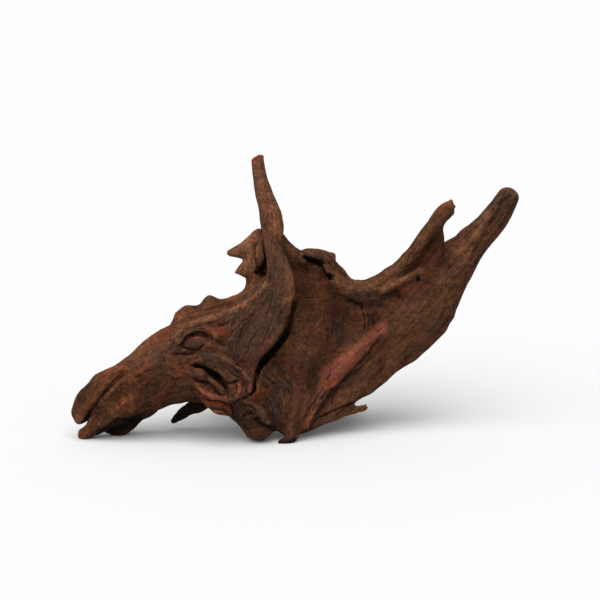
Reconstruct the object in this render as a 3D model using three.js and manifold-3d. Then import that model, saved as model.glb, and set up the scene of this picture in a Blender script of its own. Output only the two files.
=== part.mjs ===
// A driftwood root: one weathered piece of stump wood that lies on three low points of its underside.
//
// It is drawn in a sketch frame that faces its broad side, in millimetres: x to the right, y up and z
// towards the viewer. Its limbs are smooth lines of stations that melt into each other, and hollows are
// carved out of them. The surface of the whole is meshed and thinned to few triangles, leaned back on to
// its feet and worn flat there.

import * as THREE from 'three';
import { edgeTable, triTable } from 'three/addons/objects/MarchingCubes.js';
import { mergeVertices } from 'three/addons/utils/BufferGeometryUtils.js';
import Module from 'manifold-3d';

// Driving dimensions
const OVERALL_LENGTH = 315; // from the end of the snout to the end of the long prong
const LEAN_DEG = 12; // how far the broad side leans back when the root rests on its feet

// The sketch is drawn at this length. Its origin stands here in the part's frame, a little below the floor,
// so that the lowest points are worn flat.
const SKETCH_LENGTH = 315;
const SKETCH_PLACE = { x: -1.3, y: -29.2, z: -1.2 };

// Meshing
const CELL = 2.2; // spacing of the sampling grid
const REACH = 14; // how far from a limb its field is worked out
const SAMPLES_PER_SPAN = 5; // pieces of a limb between two stations
const SWELL = 0.9; // height of the broad swells on the surface
const SWELL_SIZE = 17; // their spacing
const CORNER_MARGIN = 0.03; // share of a grid edge that the surface keeps away from its ends
const NEVER_ZERO = 1e-4; // stands in for a field value of exactly zero
const SAME_POINT = 1e-5; // points nearer than this are merged

// Thinning
const TRIANGLES = 11400; // left in the finished surface
const LENGTH_COST = 2e-4; // how much more it costs to lose a long edge than a short one
const LEAST_TURN = 0.25; // cosine of the most that a face may turn when an edge is lost
const LEAST_FACE = 0.02; // twice the area of the smallest face that may be left

const WOOD_COLOUR = 0x5a3d2e;

// Limbs of the root. A station is [x, y, z, half width, half thickness, roll in degrees, cup].
// The width lies in the sketch plane at roll 0. Cup is how far a flat limb's edges curl towards the viewer.
// blend is how softly the limb melts into the rest. facing is the side that its thickness points to.

function snout() {
  return [
    {
      name: 'upper lip',
      blend: 7,
      stations: [
        [-40, 62, 6, 26, 20],
        [-70, 60, 8, 22, 19],
        [-95, 53, 8, 18, 16],
        [-115, 45, 7, 13.5, 14],
        [-130, 37, 6, 11.5, 12],
        [-141.8, 28.4, 4, 11.6, 10],
        [-147.8, 19.4, 2.6, 9.4, 8.5],
      ],
    },
    {
      name: 'lower lip',
      blend: 3,
      stations: [
        [-40, 50, 4, 24, 20],
        [-70, 47, 5, 18, 18],
        [-95, 39.3, 6, 15.6, 16],
        [-112, 31, 5, 12.6, 14],
        [-125, 23, 3, 11.2, 12],
        [-136, 14.8, 0, 9.4, 10],
        [-144.4, 8.4, -1.5, 6.6, 7],
        [-148, 4.2, -2.2, 5, 5],
      ],
    },
    {
      name: 'chin',
      blend: 4,
      stations: [
        [-104, 27, -6, 9, 8],
        [-115, 13.8, -9, 5.4, 7],
        [-124, 7.8, -10, 5.6, 6],
        [-132, 7.8, -8.4, 3.2, 3],
      ],
    },
    {
      name: 'nose ridge',
      blend: 5,
      stations: [
        [-137, 38.2, 5, 6.6, 7],
        [-118, 50, 8, 5.2, 6],
        [-102, 63.4, 8, 7.8, 7],
        [-90, 71.4, 7, 7.6, 7],
      ],
    },
  ];
}

function core() {
  return [
    {
      name: 'burl',
      blend: 8,
      stations: [
        [-78, 52, 8, 19, 18],
        [-62, 53, 11, 25, 20],
        [-51, 48, 12, 23, 20],
        [-42, 37, 11, 17.4, 18],
        [-32.6, 23, 8, 12.6, 14],
        [-25.4, 12, 7, 11.4, 11],
      ],
    },
    {
      name: 'knob fold',
      blend: 3,
      stations: [
        [-40, 28, 22, 3, 4],
        [-31, 27, 22, 3.4, 4],
        [-24, 21, 20, 3.4, 4],
        [-20, 14, 17, 3, 4],
      ],
    },
    {
      name: 'brow cheek',
      blend: 6,
      stations: [
        [-72, 73, 10, 6, 7],
        [-60, 76.5, 15, 8, 8],
        [-48, 78, 19, 9, 8],
        [-38, 78, 22, 9, 8],
      ],
    },
    {
      name: 'brow fold',
      blend: 3,
      stations: [
        [-80, 69, 20, 3, 4],
        [-72, 77.5, 23, 3, 4],
        [-62, 79, 25, 3.4, 4],
        [-54, 74.5, 27, 3, 4],
      ],
    },
    {
      name: 'lid fold',
      blend: 3,
      stations: [
        [-78, 64, 22, 3, 4],
        [-69, 69.5, 26, 3.4, 4.5],
        [-59, 68, 28, 3.4, 4.5],
        [-50, 64, 28, 3, 4],
      ],
    },
    {
      name: 'nose fold',
      blend: 3,
      stations: [
        [-68, 57, 26, 3, 4],
        [-57, 58.5, 29, 3.6, 4.5],
        [-46, 57, 29, 3.6, 4.5],
        [-37, 51, 27, 3.2, 4],
        [-32, 43, 25, 3, 4],
        [-31, 36, 23, 2.6, 4],
      ],
    },
    {
      name: 'eye',
      blend: 2.5,
      stations: [
        [-66, 48.5, 28, 4.2, 4],
        [-59, 45.5, 30, 3.6, 4],
        [-52, 39.5, 30, 3.4, 4],
        [-48.6, 36, 29, 2.6, 3],
      ],
    },
    {
      name: 'cheek fold',
      blend: 3,
      stations: [
        [-74, 43, 23, 3, 4],
        [-63, 38, 27, 3.4, 4],
        [-54, 32.5, 28, 3.4, 4.5],
        [-44, 31, 27, 3, 4],
        [-38, 36, 26, 3.4, 4],
      ],
    },
    {
      name: 'jaw fold',
      blend: 3,
      stations: [
        [-61, 31, 21, 4, 4],
        [-53, 25.2, 23, 5.6, 5],
        [-46, 22.8, 21, 4.6, 4.5],
        [-42.6, 20.4, 19, 2.6, 3],
      ],
    },
    {
      name: 'rear twig',
      blend: 4,
      stations: [
        [-52, 34, -4, 7, 7],
        [-68, 25.2, -14, 6.2, 5],
        [-79, 19.4, -21, 4.4, 3.2],
        [-85.6, 13.6, -25, 2.4, 2],
      ],
    },
  ];
}

function horn() {
  return [
    {
      name: 'horn',
      blend: 4,
      stations: [
        [-34, 48, 18, 6, 6],
        [-34.4, 58, 22, 12, 8],
        [-30.6, 73, 25, 18.4, 8, -4],
        [-24, 88, 25, 20, 7.5, -7],
        [-14.5, 101, 23, 15, 7.5, -8],
        [-11, 112, 20, 10.4, 7.5, -6],
        [-11.8, 122, 17, 8.2, 7.2],
        [-14.6, 133, 13.5, 6.6, 6.6],
        [-15.6, 145, 11, 7.2, 6.6],
        [-17, 157, 9, 7.9, 6.6],
        [-20.2, 168, 7, 7, 6],
        [-23.4, 180, 5, 5.8, 5.4],
        [-25.4, 190, 4, 5.2, 4.8],
        [-26.3, 196.2, 3.5, 4.6, 4.4],
      ],
    },
    {
      name: 'horn keel',
      blend: 5,
      stations: [
        [-17, 96, 13, 10, 9],
        [-13, 108, 7, 8, 9],
        [-12, 121, 3, 6, 9],
        [-13.4, 133, 0, 5, 8],
        [-15, 141, -2, 3.6, 6],
      ],
    },
    {
      name: 'horn crest',
      blend: 4,
      stations: [
        [-20.5, 112, 13, 3, 5],
        [-28, 99, 15, 3.4, 6],
        [-38, 92.4, 16, 3.4, 6],
        [-52, 88.6, 14, 3.2, 6],
        [-66, 82.6, 12, 3.2, 5],
        [-82, 77.4, 8, 3, 5],
      ],
    },
  ];
}

function fin() {
  return [
    {
      name: 'fin blade',
      blend: 6,
      stations: [
        [-24, 88, 0, 14, 10],
        [-21, 104, -5, 13, 8],
        [-18, 120, -8, 18, 6.5],
        [-14.6, 133, -9, 14, 5.5],
        [-18, 141.4, -9, 9.4, 4.5],
      ],
    },
    {
      name: 'fin point',
      blend: 3,
      stations: [
        [-22, 141, -8, 8, 5],
        [-30, 136.4, -6, 8.4, 4.2],
        [-39, 133, -4, 5, 3.2],
        [-46, 131.6, -3, 2.4, 2.2],
      ],
    },
    {
      name: 'fin spur',
      blend: 3,
      stations: [
        [-22, 122, -6, 10, 4.8],
        [-32, 120.6, -4, 9, 3.6],
        [-41.6, 118.2, -3, 1.9, 1.9],
      ],
    },
    {
      name: 'pocket lobe',
      blend: 2,
      stations: [
        [-23.4, 139, -2, 2.6, 3],
        [-23.8, 129, 0, 4, 3.6],
        [-24, 123.5, 0.5, 3, 3],
      ],
    },
    {
      name: 'saddle',
      blend: 6,
      stations: [
        [-82, 76, 1, 6, 8],
        [-74, 82.5, 0, 9, 8],
        [-62, 87, -2, 11, 8],
        [-46, 90, -4, 9.6, 8],
        [-34, 94, -5, 10.4, 8],
        [-24, 102, -6, 9.4, 8],
      ],
    },
    {
      name: 'saddle knob',
      blend: 3,
      stations: [
        [-76.4, 85, -1, 8, 8],
        [-73, 88, -2, 8.4, 7],
      ],
    },
    {
      name: 'saddle pip',
      blend: 3,
      stations: [
        [-58.6, 90, -2, 6, 6],
        [-59.6, 97, -4, 5.8, 5.6],
      ],
    },
  ];
}

function bowl() {
  return [
    {
      name: 'bowl plate',
      blend: 6,
      stations: [
        [-4.4, 9, 5, 7.6, 6],
        [-1.6, 22, 4, 15.6, 7, 0, 3],
        [4, 42, 0, 24, 7, 0, 5],
        [12, 64, -5, 31, 7, 0, 7],
        [17, 86, -9, 34, 7, 0, 8],
        [15, 105, -11, 29, 7, 0, 6],
        [10, 118, -10, 20, 6, 0, 3],
        [6, 125, -9, 14, 5, 0, 2],
      ],
    },
    {
      name: 'bowl cheek',
      blend: 10,
      stations: [
        [-12, 26, 6, 9, 6.5],
        [-11, 39, 6, 15, 7],
        [-7, 52, 5.4, 18, 7],
        [0, 65, 4, 18, 6.5],
        [6, 79, 1, 16, 6],
        [8, 93, -4, 13, 5.5],
        [8, 108, -8, 10, 5],
      ],
    },
    {
      name: 'rolled rim',
      blend: 4,
      stations: [
        [-10, 133.4, -9, 5.4, 5],
        [-2, 130.2, -7, 5, 4.6],
        [4, 128, -4, 4.6, 4.5],
        [10.6, 130.8, -1, 4.6, 4.6],
        [18, 130, 1, 4.8, 5],
        [22.2, 127.4, 1, 5.2, 5],
        [26, 118, 0, 5.4, 5.5],
        [33, 108, -2, 6, 6],
        [44, 104.4, -3, 7.2, 6.5],
        [57, 107.4, -3, 7.2, 6.5],
        [68, 114.6, -3, 7.2, 6],
      ],
    },
    {
      name: 'lip strip',
      blend: 3,
      stations: [
        [61, 76, -4, 3, 4],
        [50, 70, -1, 6, 5, -20],
        [38, 58, 2, 8.4, 5.4, -20],
        [28, 48, 4, 7.4, 5.2, -20],
        [20, 35, 5, 4.4, 4.6],
        [14, 24, 6, 3.4, 4],
        [8, 12, 6, 3, 3.6],
      ],
    },
    {
      name: 'hook',
      blend: 3,
      stations: [
        [-2, 13, 5, 5.6, 6],
        [-2.2, 5.4, 7.5, 4.4, 4.4],
        [-4.6, 1.4, 8.6, 3.2, 3.2],
        [-10.4, -0.5, 9.2, 1.9, 1.9],
      ],
    },
    {
      name: 'inner wall',
      blend: 5,
      stations: [
        [32, 92, -11, 9, 5.5],
        [48, 94, -10, 10, 5.5],
        [64, 99, -9, 8, 5.5],
      ],
    },
    {
      name: 'lower sheet',
      blend: 4,
      stations: [
        [4, 15, 0, 9, 5],
        [22, 24.4, -5, 9.6, 5.4],
        [38, 34.6, -9, 8, 6],
        [54, 45.2, -11, 8.4, 6],
        [66, 54.6, -11, 7.4, 6],
      ],
    },
    {
      name: 'flake',
      blend: 2,
      stations: [
        [4, 9.6, 0, 4.4, 4],
        [22, 15.6, -4, 4.4, 3.2],
        [38, 20.2, -7, 3, 2.4],
        [44.6, 22.6, -8.6, 2.9, 2.2],
        [50.8, 24.2, -10, 1.6, 1.5],
      ],
    },
  ];
}

function rightLimb() {
  return [
    {
      name: 'broad limb',
      blend: 7,
      stations: [
        [22, 38, -8, 18, 8],
        [38, 53, -9, 24, 8.5],
        [56, 66, -11, 24.2, 9, 0, -2],
        [76, 84.6, -12, 28, 9, 0, -2],
        [91.6, 103.6, -13, 27, 9, 0, -1],
        [106.6, 119.6, -13, 18.4, 8.5],
        [122, 135.2, -13, 12.2, 8],
        [136.4, 150.2, -14, 9.8, 7.5],
        [147, 164.6, -17, 8.8, 7],
        [151.8, 172.4, -19, 8, 6.4],
      ],
    },
    {
      name: 'short prong',
      blend: 4,
      stations: [
        [58, 110, -3, 6, 6],
        [71, 119.4, 0, 6.2, 6],
        [82, 130.4, 3, 5.8, 6],
        [90.6, 143.2, 5, 5.2, 5.5],
        [98.4, 154.4, 6, 5.4, 5],
        [104.8, 161.8, 6, 4.6, 4],
        [108.8, 165.4, 5.4, 3, 3.2],
      ],
    },
    {
      name: 'prong splinters',
      blend: 1.5,
      stations: [
        [105.6, 157.6, 4, 2.6, 2.4],
        [110, 160, 4, 1.5, 1.5],
      ],
    },
    {
      name: 'web',
      blend: 5,
      stations: [
        [76, 110, -7, 14, 6],
        [90, 126, -5, 11, 6],
        [98.6, 137.6, -3, 6.6, 6],
        [99.4, 147, 1, 3.2, 5],
      ],
    },
    {
      name: 'inner ridge',
      blend: 3,
      stations: [
        [56, 103, -2, 3.5, 4],
        [72, 111, -1, 3.6, 4],
        [83, 117, -1, 3, 3.6],
        [87.5, 118.6, -2, 1.6, 2],
      ],
    },
  ];
}

function back() {
  return [
    {
      name: 'back root',
      blend: 9,
      stations: [
        [-62, 56, -6, 16, 12],
        [-30, 58, -16, 17, 14],
        [0, 61, -22, 16, 13],
        [26, 66, -25, 14, 11],
        [52, 74, -24, 12, 9],
        [80, 92, -20, 9, 7],
      ],
    },
    {
      name: 'back rib',
      blend: 8,
      stations: [
        [-8, 62, -24, 12, 11],
        [4, 86, -26, 8.4, 9],
        [8, 106, -20, 6, 7],
        [4, 122, -14, 4.6, 5],
      ],
    },
    {
      name: 'back foot',
      facing: [0, 1, 0],
      blend: 8,
      stations: [
        [-4, 66, -16, 18, 18],
        [14, 54, -34, 13.5, 14],
        [22, 43, -48, 10, 11],
        [28, 30, -60, 9.2, 8.6],
        [34, 24, -69, 7.4, 7.4],
        [38, 21.8, -76, 5.4, 5.2],
      ],
    },
    {
      name: 'foot toe',
      facing: [0, 1, 0],
      blend: 4,
      stations: [
        [24, 44, -46, 8, 8],
        [17, 33, -60, 5.6, 5.4],
        [7, 27, -69, 3.8, 3.8],
        [2, 22, -74, 2.2, 2.2],
      ],
    },
    {
      name: 'broken stub',
      facing: [0, 1, 0],
      blend: 7,
      stations: [
        [-44, 54, -6, 20, 19],
        [-47, 60, -24, 14, 14],
        [-56, 67, -36, 9.4, 10],
        [-66, 72, -43, 7, 6.4],
        [-73, 70, -50, 4, 3.6],
      ],
    },
    {
      name: 'stub branch',
      facing: [0, 1, 0],
      blend: 5,
      stations: [
        [-52, 64, -30, 8, 8],
        [-48, 76, -42, 5.4, 5.4],
        [-44, 86, -48, 3.4, 3.4],
        [-44, 91, -49, 2, 2],
      ],
    },
    {
      name: 'side root',
      facing: [0, 1, 0],
      blend: 6,
      stations: [
        [44, 74, -20, 14, 12],
        [62, 76, -32, 8.4, 8],
        [74, 70, -42, 5.6, 5.4],
        [84, 70, -51, 3.4, 3.4],
        [88, 66, -57, 2, 2],
      ],
    },
  ];
}

// Hollows, grooves and gaps, stated the same way.
function hollows() {
  return [
    {
      name: 'mouth',
      blend: 2,
      stations: [
        [-160, 9, 2, 1, 16],
        [-150, 11.6, 8, 1.2, 12],
        [-142, 20.6, 15, 1.5, 6],
        [-133, 32.6, 18, 1.4, 5],
        [-124, 43, 20, 1.1, 4],
        [-116, 50, 22, 1, 3],
      ],
    },
    {
      name: 'gap beside the bulb',
      blend: 1.5,
      stations: [
        [1.4, 100, 18, 1, 9],
        [0.4, 94, 19, 1.4, 12],
        [-2.2, 86, 19, 1.7, 13],
        [-5.2, 77, 19, 2, 14],
        [-10.4, 68.4, 19, 2.6, 15],
        [-17.4, 61, 19, 3, 15],
        [-23.6, 54, 19, 2.4, 13],
        [-26.6, 47.6, 20, 1.5, 8],
        [-27.6, 40, 20, 1.2, 6],
        [-29.6, 34.4, 21, 1.2, 6],
        [-37, 31.4, 22, 1, 5],
      ],
    },
    {
      name: 'rim slit',
      blend: 1.5,
      stations: [
        [7, 128.6, 1, 1.3, 7],
        [12, 126, 0.5, 2.1, 8],
        [17, 124, 0, 1.6, 8],
        [21, 119, -2, 1.1, 7],
        [25, 114.6, -3, 1.2, 6],
      ],
    },
    {
      name: 'eye slit',
      blend: 1.5,
      stations: [
        [-69, 53.6, 30, 1.2, 6],
        [-60, 51, 32, 1.6, 8],
        [-53, 45, 33, 1.8, 9],
        [-46.6, 36.6, 31, 1.4, 7],
      ],
    },
    {
      name: 'brow groove',
      blend: 1.5,
      stations: [
        [-78, 67, 26, 1.1, 5],
        [-70, 74, 28, 1.4, 6],
        [-60, 74, 29, 1.2, 5],
      ],
    },
    {
      name: 'fin pocket',
      blend: 2,
      stations: [
        [-20, 140, -1, 2, 4],
        [-19.4, 126, 0, 2.2, 6],
        [-23, 118, 0, 4, 6],
      ],
    },
    {
      name: 'back hollow',
      blend: 8,
      stations: [
        [-22, 92, -34, 12, 20],
        [-36, 76, -36, 8, 14],
      ],
    },
    {
      name: 'back dish',
      blend: 8,
      stations: [
        [28, 98, -38, 10, 19],
        [50, 98, -38, 10, 19],
      ],
    },
  ];
}

// A limb's line of short pieces, each with its own frame: along, side (its width) and front (its thickness).
function makeLimb({ stations, blend, facing = [0, 0, 1] }) {
  const centres = stations.map(([x, y, z]) => new THREE.Vector3(x, y, z));
  const line = new THREE.CatmullRomCurve3(centres, false, 'centripetal');
  const spans = stations.length - 1;
  const count = spans * SAMPLES_PER_SPAN;
  const valueAt = (index, t) => {
    const span = Math.min(Math.floor(t * spans), spans - 1);
    const share = t * spans - span;
    const from = stations[span][index] ?? 0;
    return from + ((stations[span + 1][index] ?? 0) - from) * share;
  };
  const samples = [];
  for (let i = 0; i <= count; i++) {
    const t = i / count;
    const along = line.getTangent(t);
    const front = new THREE.Vector3(...facing);
    front.addScaledVector(along, -front.dot(along)).normalize();
    front.applyAxisAngle(along, THREE.MathUtils.degToRad(valueAt(5, t)));
    const side = new THREE.Vector3().crossVectors(along, front);
    samples.push({
      centre: line.getPoint(t),
      side,
      front,
      wide: valueAt(3, t),
      thick: valueAt(4, t),
      cup: valueAt(6, t),
    });
  }
  const box = new THREE.Box3();
  for (const { centre, wide, thick } of samples) {
    const r = Math.max(wide, thick) + REACH;
    box.expandByPoint(centre.clone().addScalar(r));
    box.expandByPoint(centre.clone().addScalar(-r));
  }
  return { samples, box, blend };
}

// About how far the point is outside the limb, negative inside it.
function distanceToLimb(limb, x, y, z) {
  let nearest = Infinity;
  const { samples } = limb;
  for (let i = 0; i + 1 < samples.length; i++) {
    const a = samples[i];
    const b = samples[i + 1];
    const ex = b.centre.x - a.centre.x;
    const ey = b.centre.y - a.centre.y;
    const ez = b.centre.z - a.centre.z;
    const length2 = ex * ex + ey * ey + ez * ez;
    const px = x - a.centre.x;
    const py = y - a.centre.y;
    const pz = z - a.centre.z;
    const t = Math.min(1, Math.max(0, (px * ex + py * ey + pz * ez) / length2));
    const s = 1 - t;
    const wide = s * a.wide + t * b.wide;
    const thick = s * a.thick + t * b.thick;
    const dx = px - t * ex;
    const dy = py - t * ey;
    const dz = pz - t * ez;
    if (dx * dx + dy * dy + dz * dz > (Math.max(wide, thick) + REACH) ** 2) continue;
    const across = dx * (s * a.side.x + t * b.side.x) + dy * (s * a.side.y + t * b.side.y)
      + dz * (s * a.side.z + t * b.side.z);
    let through = dx * (s * a.front.x + t * b.front.x) + dy * (s * a.front.y + t * b.front.y)
      + dz * (s * a.front.z + t * b.front.z);
    const beyond = Math.sqrt(Math.max(0, dx * dx + dy * dy + dz * dz - across ** 2 - through ** 2));
    const cup = s * a.cup + t * b.cup;
    const share = Math.min(1.2, Math.abs(across) / wide);
    through -= cup * share * share;
    const cap = Math.min(wide, thick);
    const f = Math.hypot(across / wide, through / thick, beyond / cap);
    const slope = Math.hypot(across / wide ** 2, through / thick ** 2, beyond / cap ** 2) / Math.max(f, 1e-6);
    const tilt = Math.hypot(1, (2 * cup * share) / wide);
    nearest = Math.min(nearest, f < 1e-6 ? -cap : (f - 1) / (slope * tilt));
  }
  return nearest;
}

function smoothMin(a, b, k) {
  const h = Math.max(k - Math.abs(a - b), 0) / k;
  return Math.min(a, b) - (h * h * k) / 4;
}

// Smooth noise between -1 and 1, the same on every run.
function noise(x, y, z) {
  const corner = (i, j, k) => {
    const h = Math.sin(i * 127.1 + j * 311.7 + k * 74.7) * 43758.5453;
    return (h - Math.floor(h)) * 2 - 1;
  };
  const [i, j, k] = [Math.floor(x), Math.floor(y), Math.floor(z)];
  const ease = (t) => t * t * (3 - 2 * t);
  const [u, v, w] = [ease(x - i), ease(y - j), ease(z - k)];
  const mix = THREE.MathUtils.lerp;
  const face = (c) => mix(
    mix(corner(i, j, c), corner(i + 1, j, c), u),
    mix(corner(i, j + 1, c), corner(i + 1, j + 1, c), u),
    v,
  );
  return mix(face(k), face(k + 1), w);
}

// Samples the whole root's field on a grid.
function sampleField(limbs, carves) {
  const box = new THREE.Box3();
  limbs.forEach((limb) => box.union(limb.box));
  const size = box.getSize(new THREE.Vector3());
  const [nx, ny, nz] = [size.x, size.y, size.z].map((length) => Math.ceil(length / CELL) + 1);
  const values = new Float32Array(nx * ny * nz).fill(REACH);
  const near = (limb, use) => {
    const from = limb.box.min.clone().sub(box.min).divideScalar(CELL).floor();
    const to = limb.box.max.clone().sub(box.min).divideScalar(CELL).ceil();
    for (let k = Math.max(0, from.z); k <= Math.min(nz - 1, to.z); k++) {
      for (let j = Math.max(0, from.y); j <= Math.min(ny - 1, to.y); j++) {
        for (let i = Math.max(0, from.x); i <= Math.min(nx - 1, to.x); i++) {
          const d = distanceToLimb(limb, box.min.x + i * CELL, box.min.y + j * CELL, box.min.z + k * CELL);
          if (d < REACH) use(i + nx * (j + ny * k), d);
        }
      }
    }
  };
  for (const limb of limbs) {
    near(limb, (n, d) => { values[n] = smoothMin(values[n], d, limb.blend); });
  }
  for (const carve of carves) {
    near(carve, (n, d) => { values[n] = -smoothMin(-values[n], d, carve.blend); });
  }
  for (let n = 0; n < values.length; n++) {
    if (Math.abs(values[n]) > REACH / 2) continue;
    const x = box.min.x + (n % nx) * CELL;
    const y = box.min.y + (Math.floor(n / nx) % ny) * CELL;
    const z = box.min.z + Math.floor(n / (nx * ny)) * CELL;
    values[n] += SWELL * noise(x / SWELL_SIZE, y / SWELL_SIZE, z / SWELL_SIZE);
    if (values[n] === 0) values[n] = NEVER_ZERO;
  }
  return { values, nx, ny, nz, origin: box.min };
}

// The field's zero surface by marching cubes, as { points, faces }.
function meshField({ values, nx, ny, nz, origin }) {
  const points = [];
  const faces = [];
  const made = new Map();
  const CORNERS = [[0, 0, 0], [1, 0, 0], [1, 1, 0], [0, 1, 0], [0, 0, 1], [1, 0, 1], [1, 1, 1], [0, 1, 1]];
  const EDGES = [
    [0, 1], [1, 2], [2, 3], [3, 0],
    [4, 5], [5, 6], [6, 7], [7, 4],
    [0, 4], [1, 5], [2, 6], [3, 7],
  ];
  const indexOf = ([i, j, k]) => i + nx * (j + ny * k);
  const pointOn = (a, b) => {
    const [na, nb] = [indexOf(a), indexOf(b)];
    const key = Math.min(na, nb) * 4 + (a[0] !== b[0] ? 0 : a[1] !== b[1] ? 1 : 2);
    if (!made.has(key)) {
      const crossing = values[na] / (values[na] - values[nb]);
      const t = THREE.MathUtils.clamp(crossing, CORNER_MARGIN, 1 - CORNER_MARGIN);
      made.set(key, points.length);
      points.push(new THREE.Vector3(
        origin.x + (a[0] + (b[0] - a[0]) * t) * CELL,
        origin.y + (a[1] + (b[1] - a[1]) * t) * CELL,
        origin.z + (a[2] + (b[2] - a[2]) * t) * CELL,
      ));
    }
    return made.get(key);
  };
  for (let k = 0; k + 1 < nz; k++) {
    for (let j = 0; j + 1 < ny; j++) {
      for (let i = 0; i + 1 < nx; i++) {
        const corners = CORNERS.map(([x, y, z]) => [i + x, j + y, k + z]);
        const code = corners.reduce((bits, c, n) => bits | (values[indexOf(c)] < 0 ? 1 << n : 0), 0);
        if (!edgeTable[code]) continue;
        for (let n = code * 16; triTable[n] !== -1; n += 3) {
          faces.push([0, 2, 1].map((m) => {
            const [a, b] = EDGES[triTable[n + m]];
            return pointOn(corners[a], corners[b]);
          }));
        }
      }
    }
  }
  return { points, faces };
}

// Thins a closed mesh by collapsing the edges whose loss moves the surface least.
function thin({ points, faces }, wanted) {
  const facesOf = points.map(() => new Set());
  const live = new Set();
  const quadrics = points.map(() => new Float64Array(10));
  const planeOf = ([a, b, c]) => {
    const n = new THREE.Vector3().crossVectors(
      points[b].clone().sub(points[a]),
      points[c].clone().sub(points[a]),
    );
    const area = n.length() / 2;
    n.normalize();
    return { n, area, d: -n.dot(points[a]) };
  };
  faces.forEach((face, id) => {
    live.add(id);
    const { n, area, d } = planeOf(face);
    const p = [n.x, n.y, n.z, d];
    for (const v of face) {
      facesOf[v].add(id);
      let m = 0;
      for (let r = 0; r < 4; r++) {
        for (let c = r; c < 4; c++) {
          quadrics[v][m] += area * p[r] * p[c];
          m += 1;
        }
      }
    }
  });
  const errorAt = (q, { x, y, z }) => q[0] * x * x + 2 * q[1] * x * y + 2 * q[2] * x * z + 2 * q[3] * x
    + q[4] * y * y + 2 * q[5] * y * z + 2 * q[6] * y + q[7] * z * z + 2 * q[8] * z + q[9];
  const neighbours = (v) => {
    const found = new Set();
    for (const id of facesOf[v]) {
      for (const w of faces[id]) found.add(w);
    }
    found.delete(v);
    return found;
  };
  const heap = [];
  const push = (entry) => {
    let n = heap.push(entry) - 1;
    while (n > 0) {
      const up = (n - 1) >> 1;
      if (heap[up].cost <= heap[n].cost) break;
      [heap[up], heap[n]] = [heap[n], heap[up]];
      n = up;
    }
  };
  const pop = () => {
    const top = heap[0];
    const last = heap.pop();
    if (!heap.length) return top;
    heap[0] = last;
    for (let n = 0; ;) {
      let least = n;
      for (const down of [2 * n + 1, 2 * n + 2]) {
        if (down < heap.length && heap[down].cost < heap[least].cost) least = down;
      }
      if (least === n) return top;
      [heap[least], heap[n]] = [heap[n], heap[least]];
      n = least;
    }
  };
  const GONE = 1e9; // the version of a point that has been collapsed away
  const version = new Uint32Array(points.length);
  const consider = (a, b) => {
    const q = quadrics[a].map((value, n) => value + quadrics[b][n]);
    const middle = points[a].clone().lerp(points[b], 0.5);
    const places = [middle, points[a].clone(), points[b].clone()];
    const best = places.reduce((x, y) => (errorAt(q, y) < errorAt(q, x) ? y : x));
    const edge = points[a].distanceToSquared(points[b]);
    const cost = errorAt(q, best) + LENGTH_COST * edge * edge;
    push({ cost, a, b, q, place: best, stamp: version[a] + version[b], va: version[a] });
  };
  points.forEach((_, v) => {
    for (const w of neighbours(v)) {
      if (v < w) consider(v, w);
    }
  });

  const turnsOver = (v, other, place) => {
    for (const id of facesOf[v]) {
      const face = faces[id];
      if (face.includes(other)) continue;
      const was = planeOf(face).n;
      const [p, q, r] = face.map((w) => (w === v ? place : points[w]));
      const now = new THREE.Vector3().crossVectors(q.clone().sub(p), r.clone().sub(p));
      if (now.dot(was) < LEAST_TURN * now.length() || now.length() < LEAST_FACE) return true;
    }
    return false;
  };
  while (live.size > wanted && heap.length) {
    const { a, b, q, place, stamp, va } = pop();
    if (version[a] !== va || version[a] + version[b] !== stamp) continue;
    const shared = [...facesOf[a]].filter((id) => facesOf[b].has(id));
    if (shared.length !== 2) continue;
    const nearA = neighbours(a);
    const common = [...neighbours(b)].filter((w) => nearA.has(w));
    if (common.length !== 2 || turnsOver(a, b, place) || turnsOver(b, a, place)) continue;
    for (const id of shared) {
      live.delete(id);
      for (const w of faces[id]) facesOf[w].delete(id);
    }
    for (const id of facesOf[b]) {
      faces[id] = faces[id].map((w) => (w === b ? a : w));
      facesOf[a].add(id);
    }
    facesOf[b].clear();
    points[a].copy(place);
    quadrics[a] = q;
    version[a] += 1;
    version[b] = GONE;
    for (const w of neighbours(a)) consider(a, w);
  }
  return { points, faces: [...live].map((id) => faces[id]) };
}

function geometryOf({ points, faces }) {
  const geometry = new THREE.BufferGeometry();
  geometry.setAttribute('position', new THREE.Float32BufferAttribute(
    faces.flatMap((face) => face.flatMap((v) => points[v].toArray())),
    3,
  ));
  return mergeVertices(geometry, SAME_POINT);
}

// Leans the sketch back, stands it on the floor and cuts the worn feet flat.
async function standOnFeet(geometry) {
  const grow = OVERALL_LENGTH / SKETCH_LENGTH;
  geometry.scale(grow, grow, grow);
  geometry.rotateX(THREE.MathUtils.degToRad(90 - LEAN_DEG));
  geometry.translate(SKETCH_PLACE.x, SKETCH_PLACE.y, SKETCH_PLACE.z);
  const wasm = await Module();
  wasm.setup();
  const solidOf = (shape) => {
    const plain = shape.clone();
    plain.deleteAttribute('normal');
    plain.deleteAttribute('uv');
    const merged = mergeVertices(plain, SAME_POINT);
    return new wasm.Manifold(new wasm.Mesh({
      numProp: 3,
      vertProperties: merged.attributes.position.array,
      triVerts: new Uint32Array(merged.index.array),
    }));
  };
  const below = new THREE.BoxGeometry(2 * OVERALL_LENGTH, 2 * OVERALL_LENGTH, 20);
  below.translate(0, 0, -10);
  const worn = solidOf(geometry).subtract(solidOf(below));
  const whole = worn.decompose().reduce((a, b) => (a.volume() > b.volume() ? a : b));
  const { vertProperties, triVerts } = whole.getMesh();
  const finished = new THREE.BufferGeometry();
  finished.setAttribute('position', new THREE.BufferAttribute(vertProperties, 3));
  finished.setIndex(new THREE.BufferAttribute(triVerts, 1));
  finished.computeVertexNormals();
  return finished;
}

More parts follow.
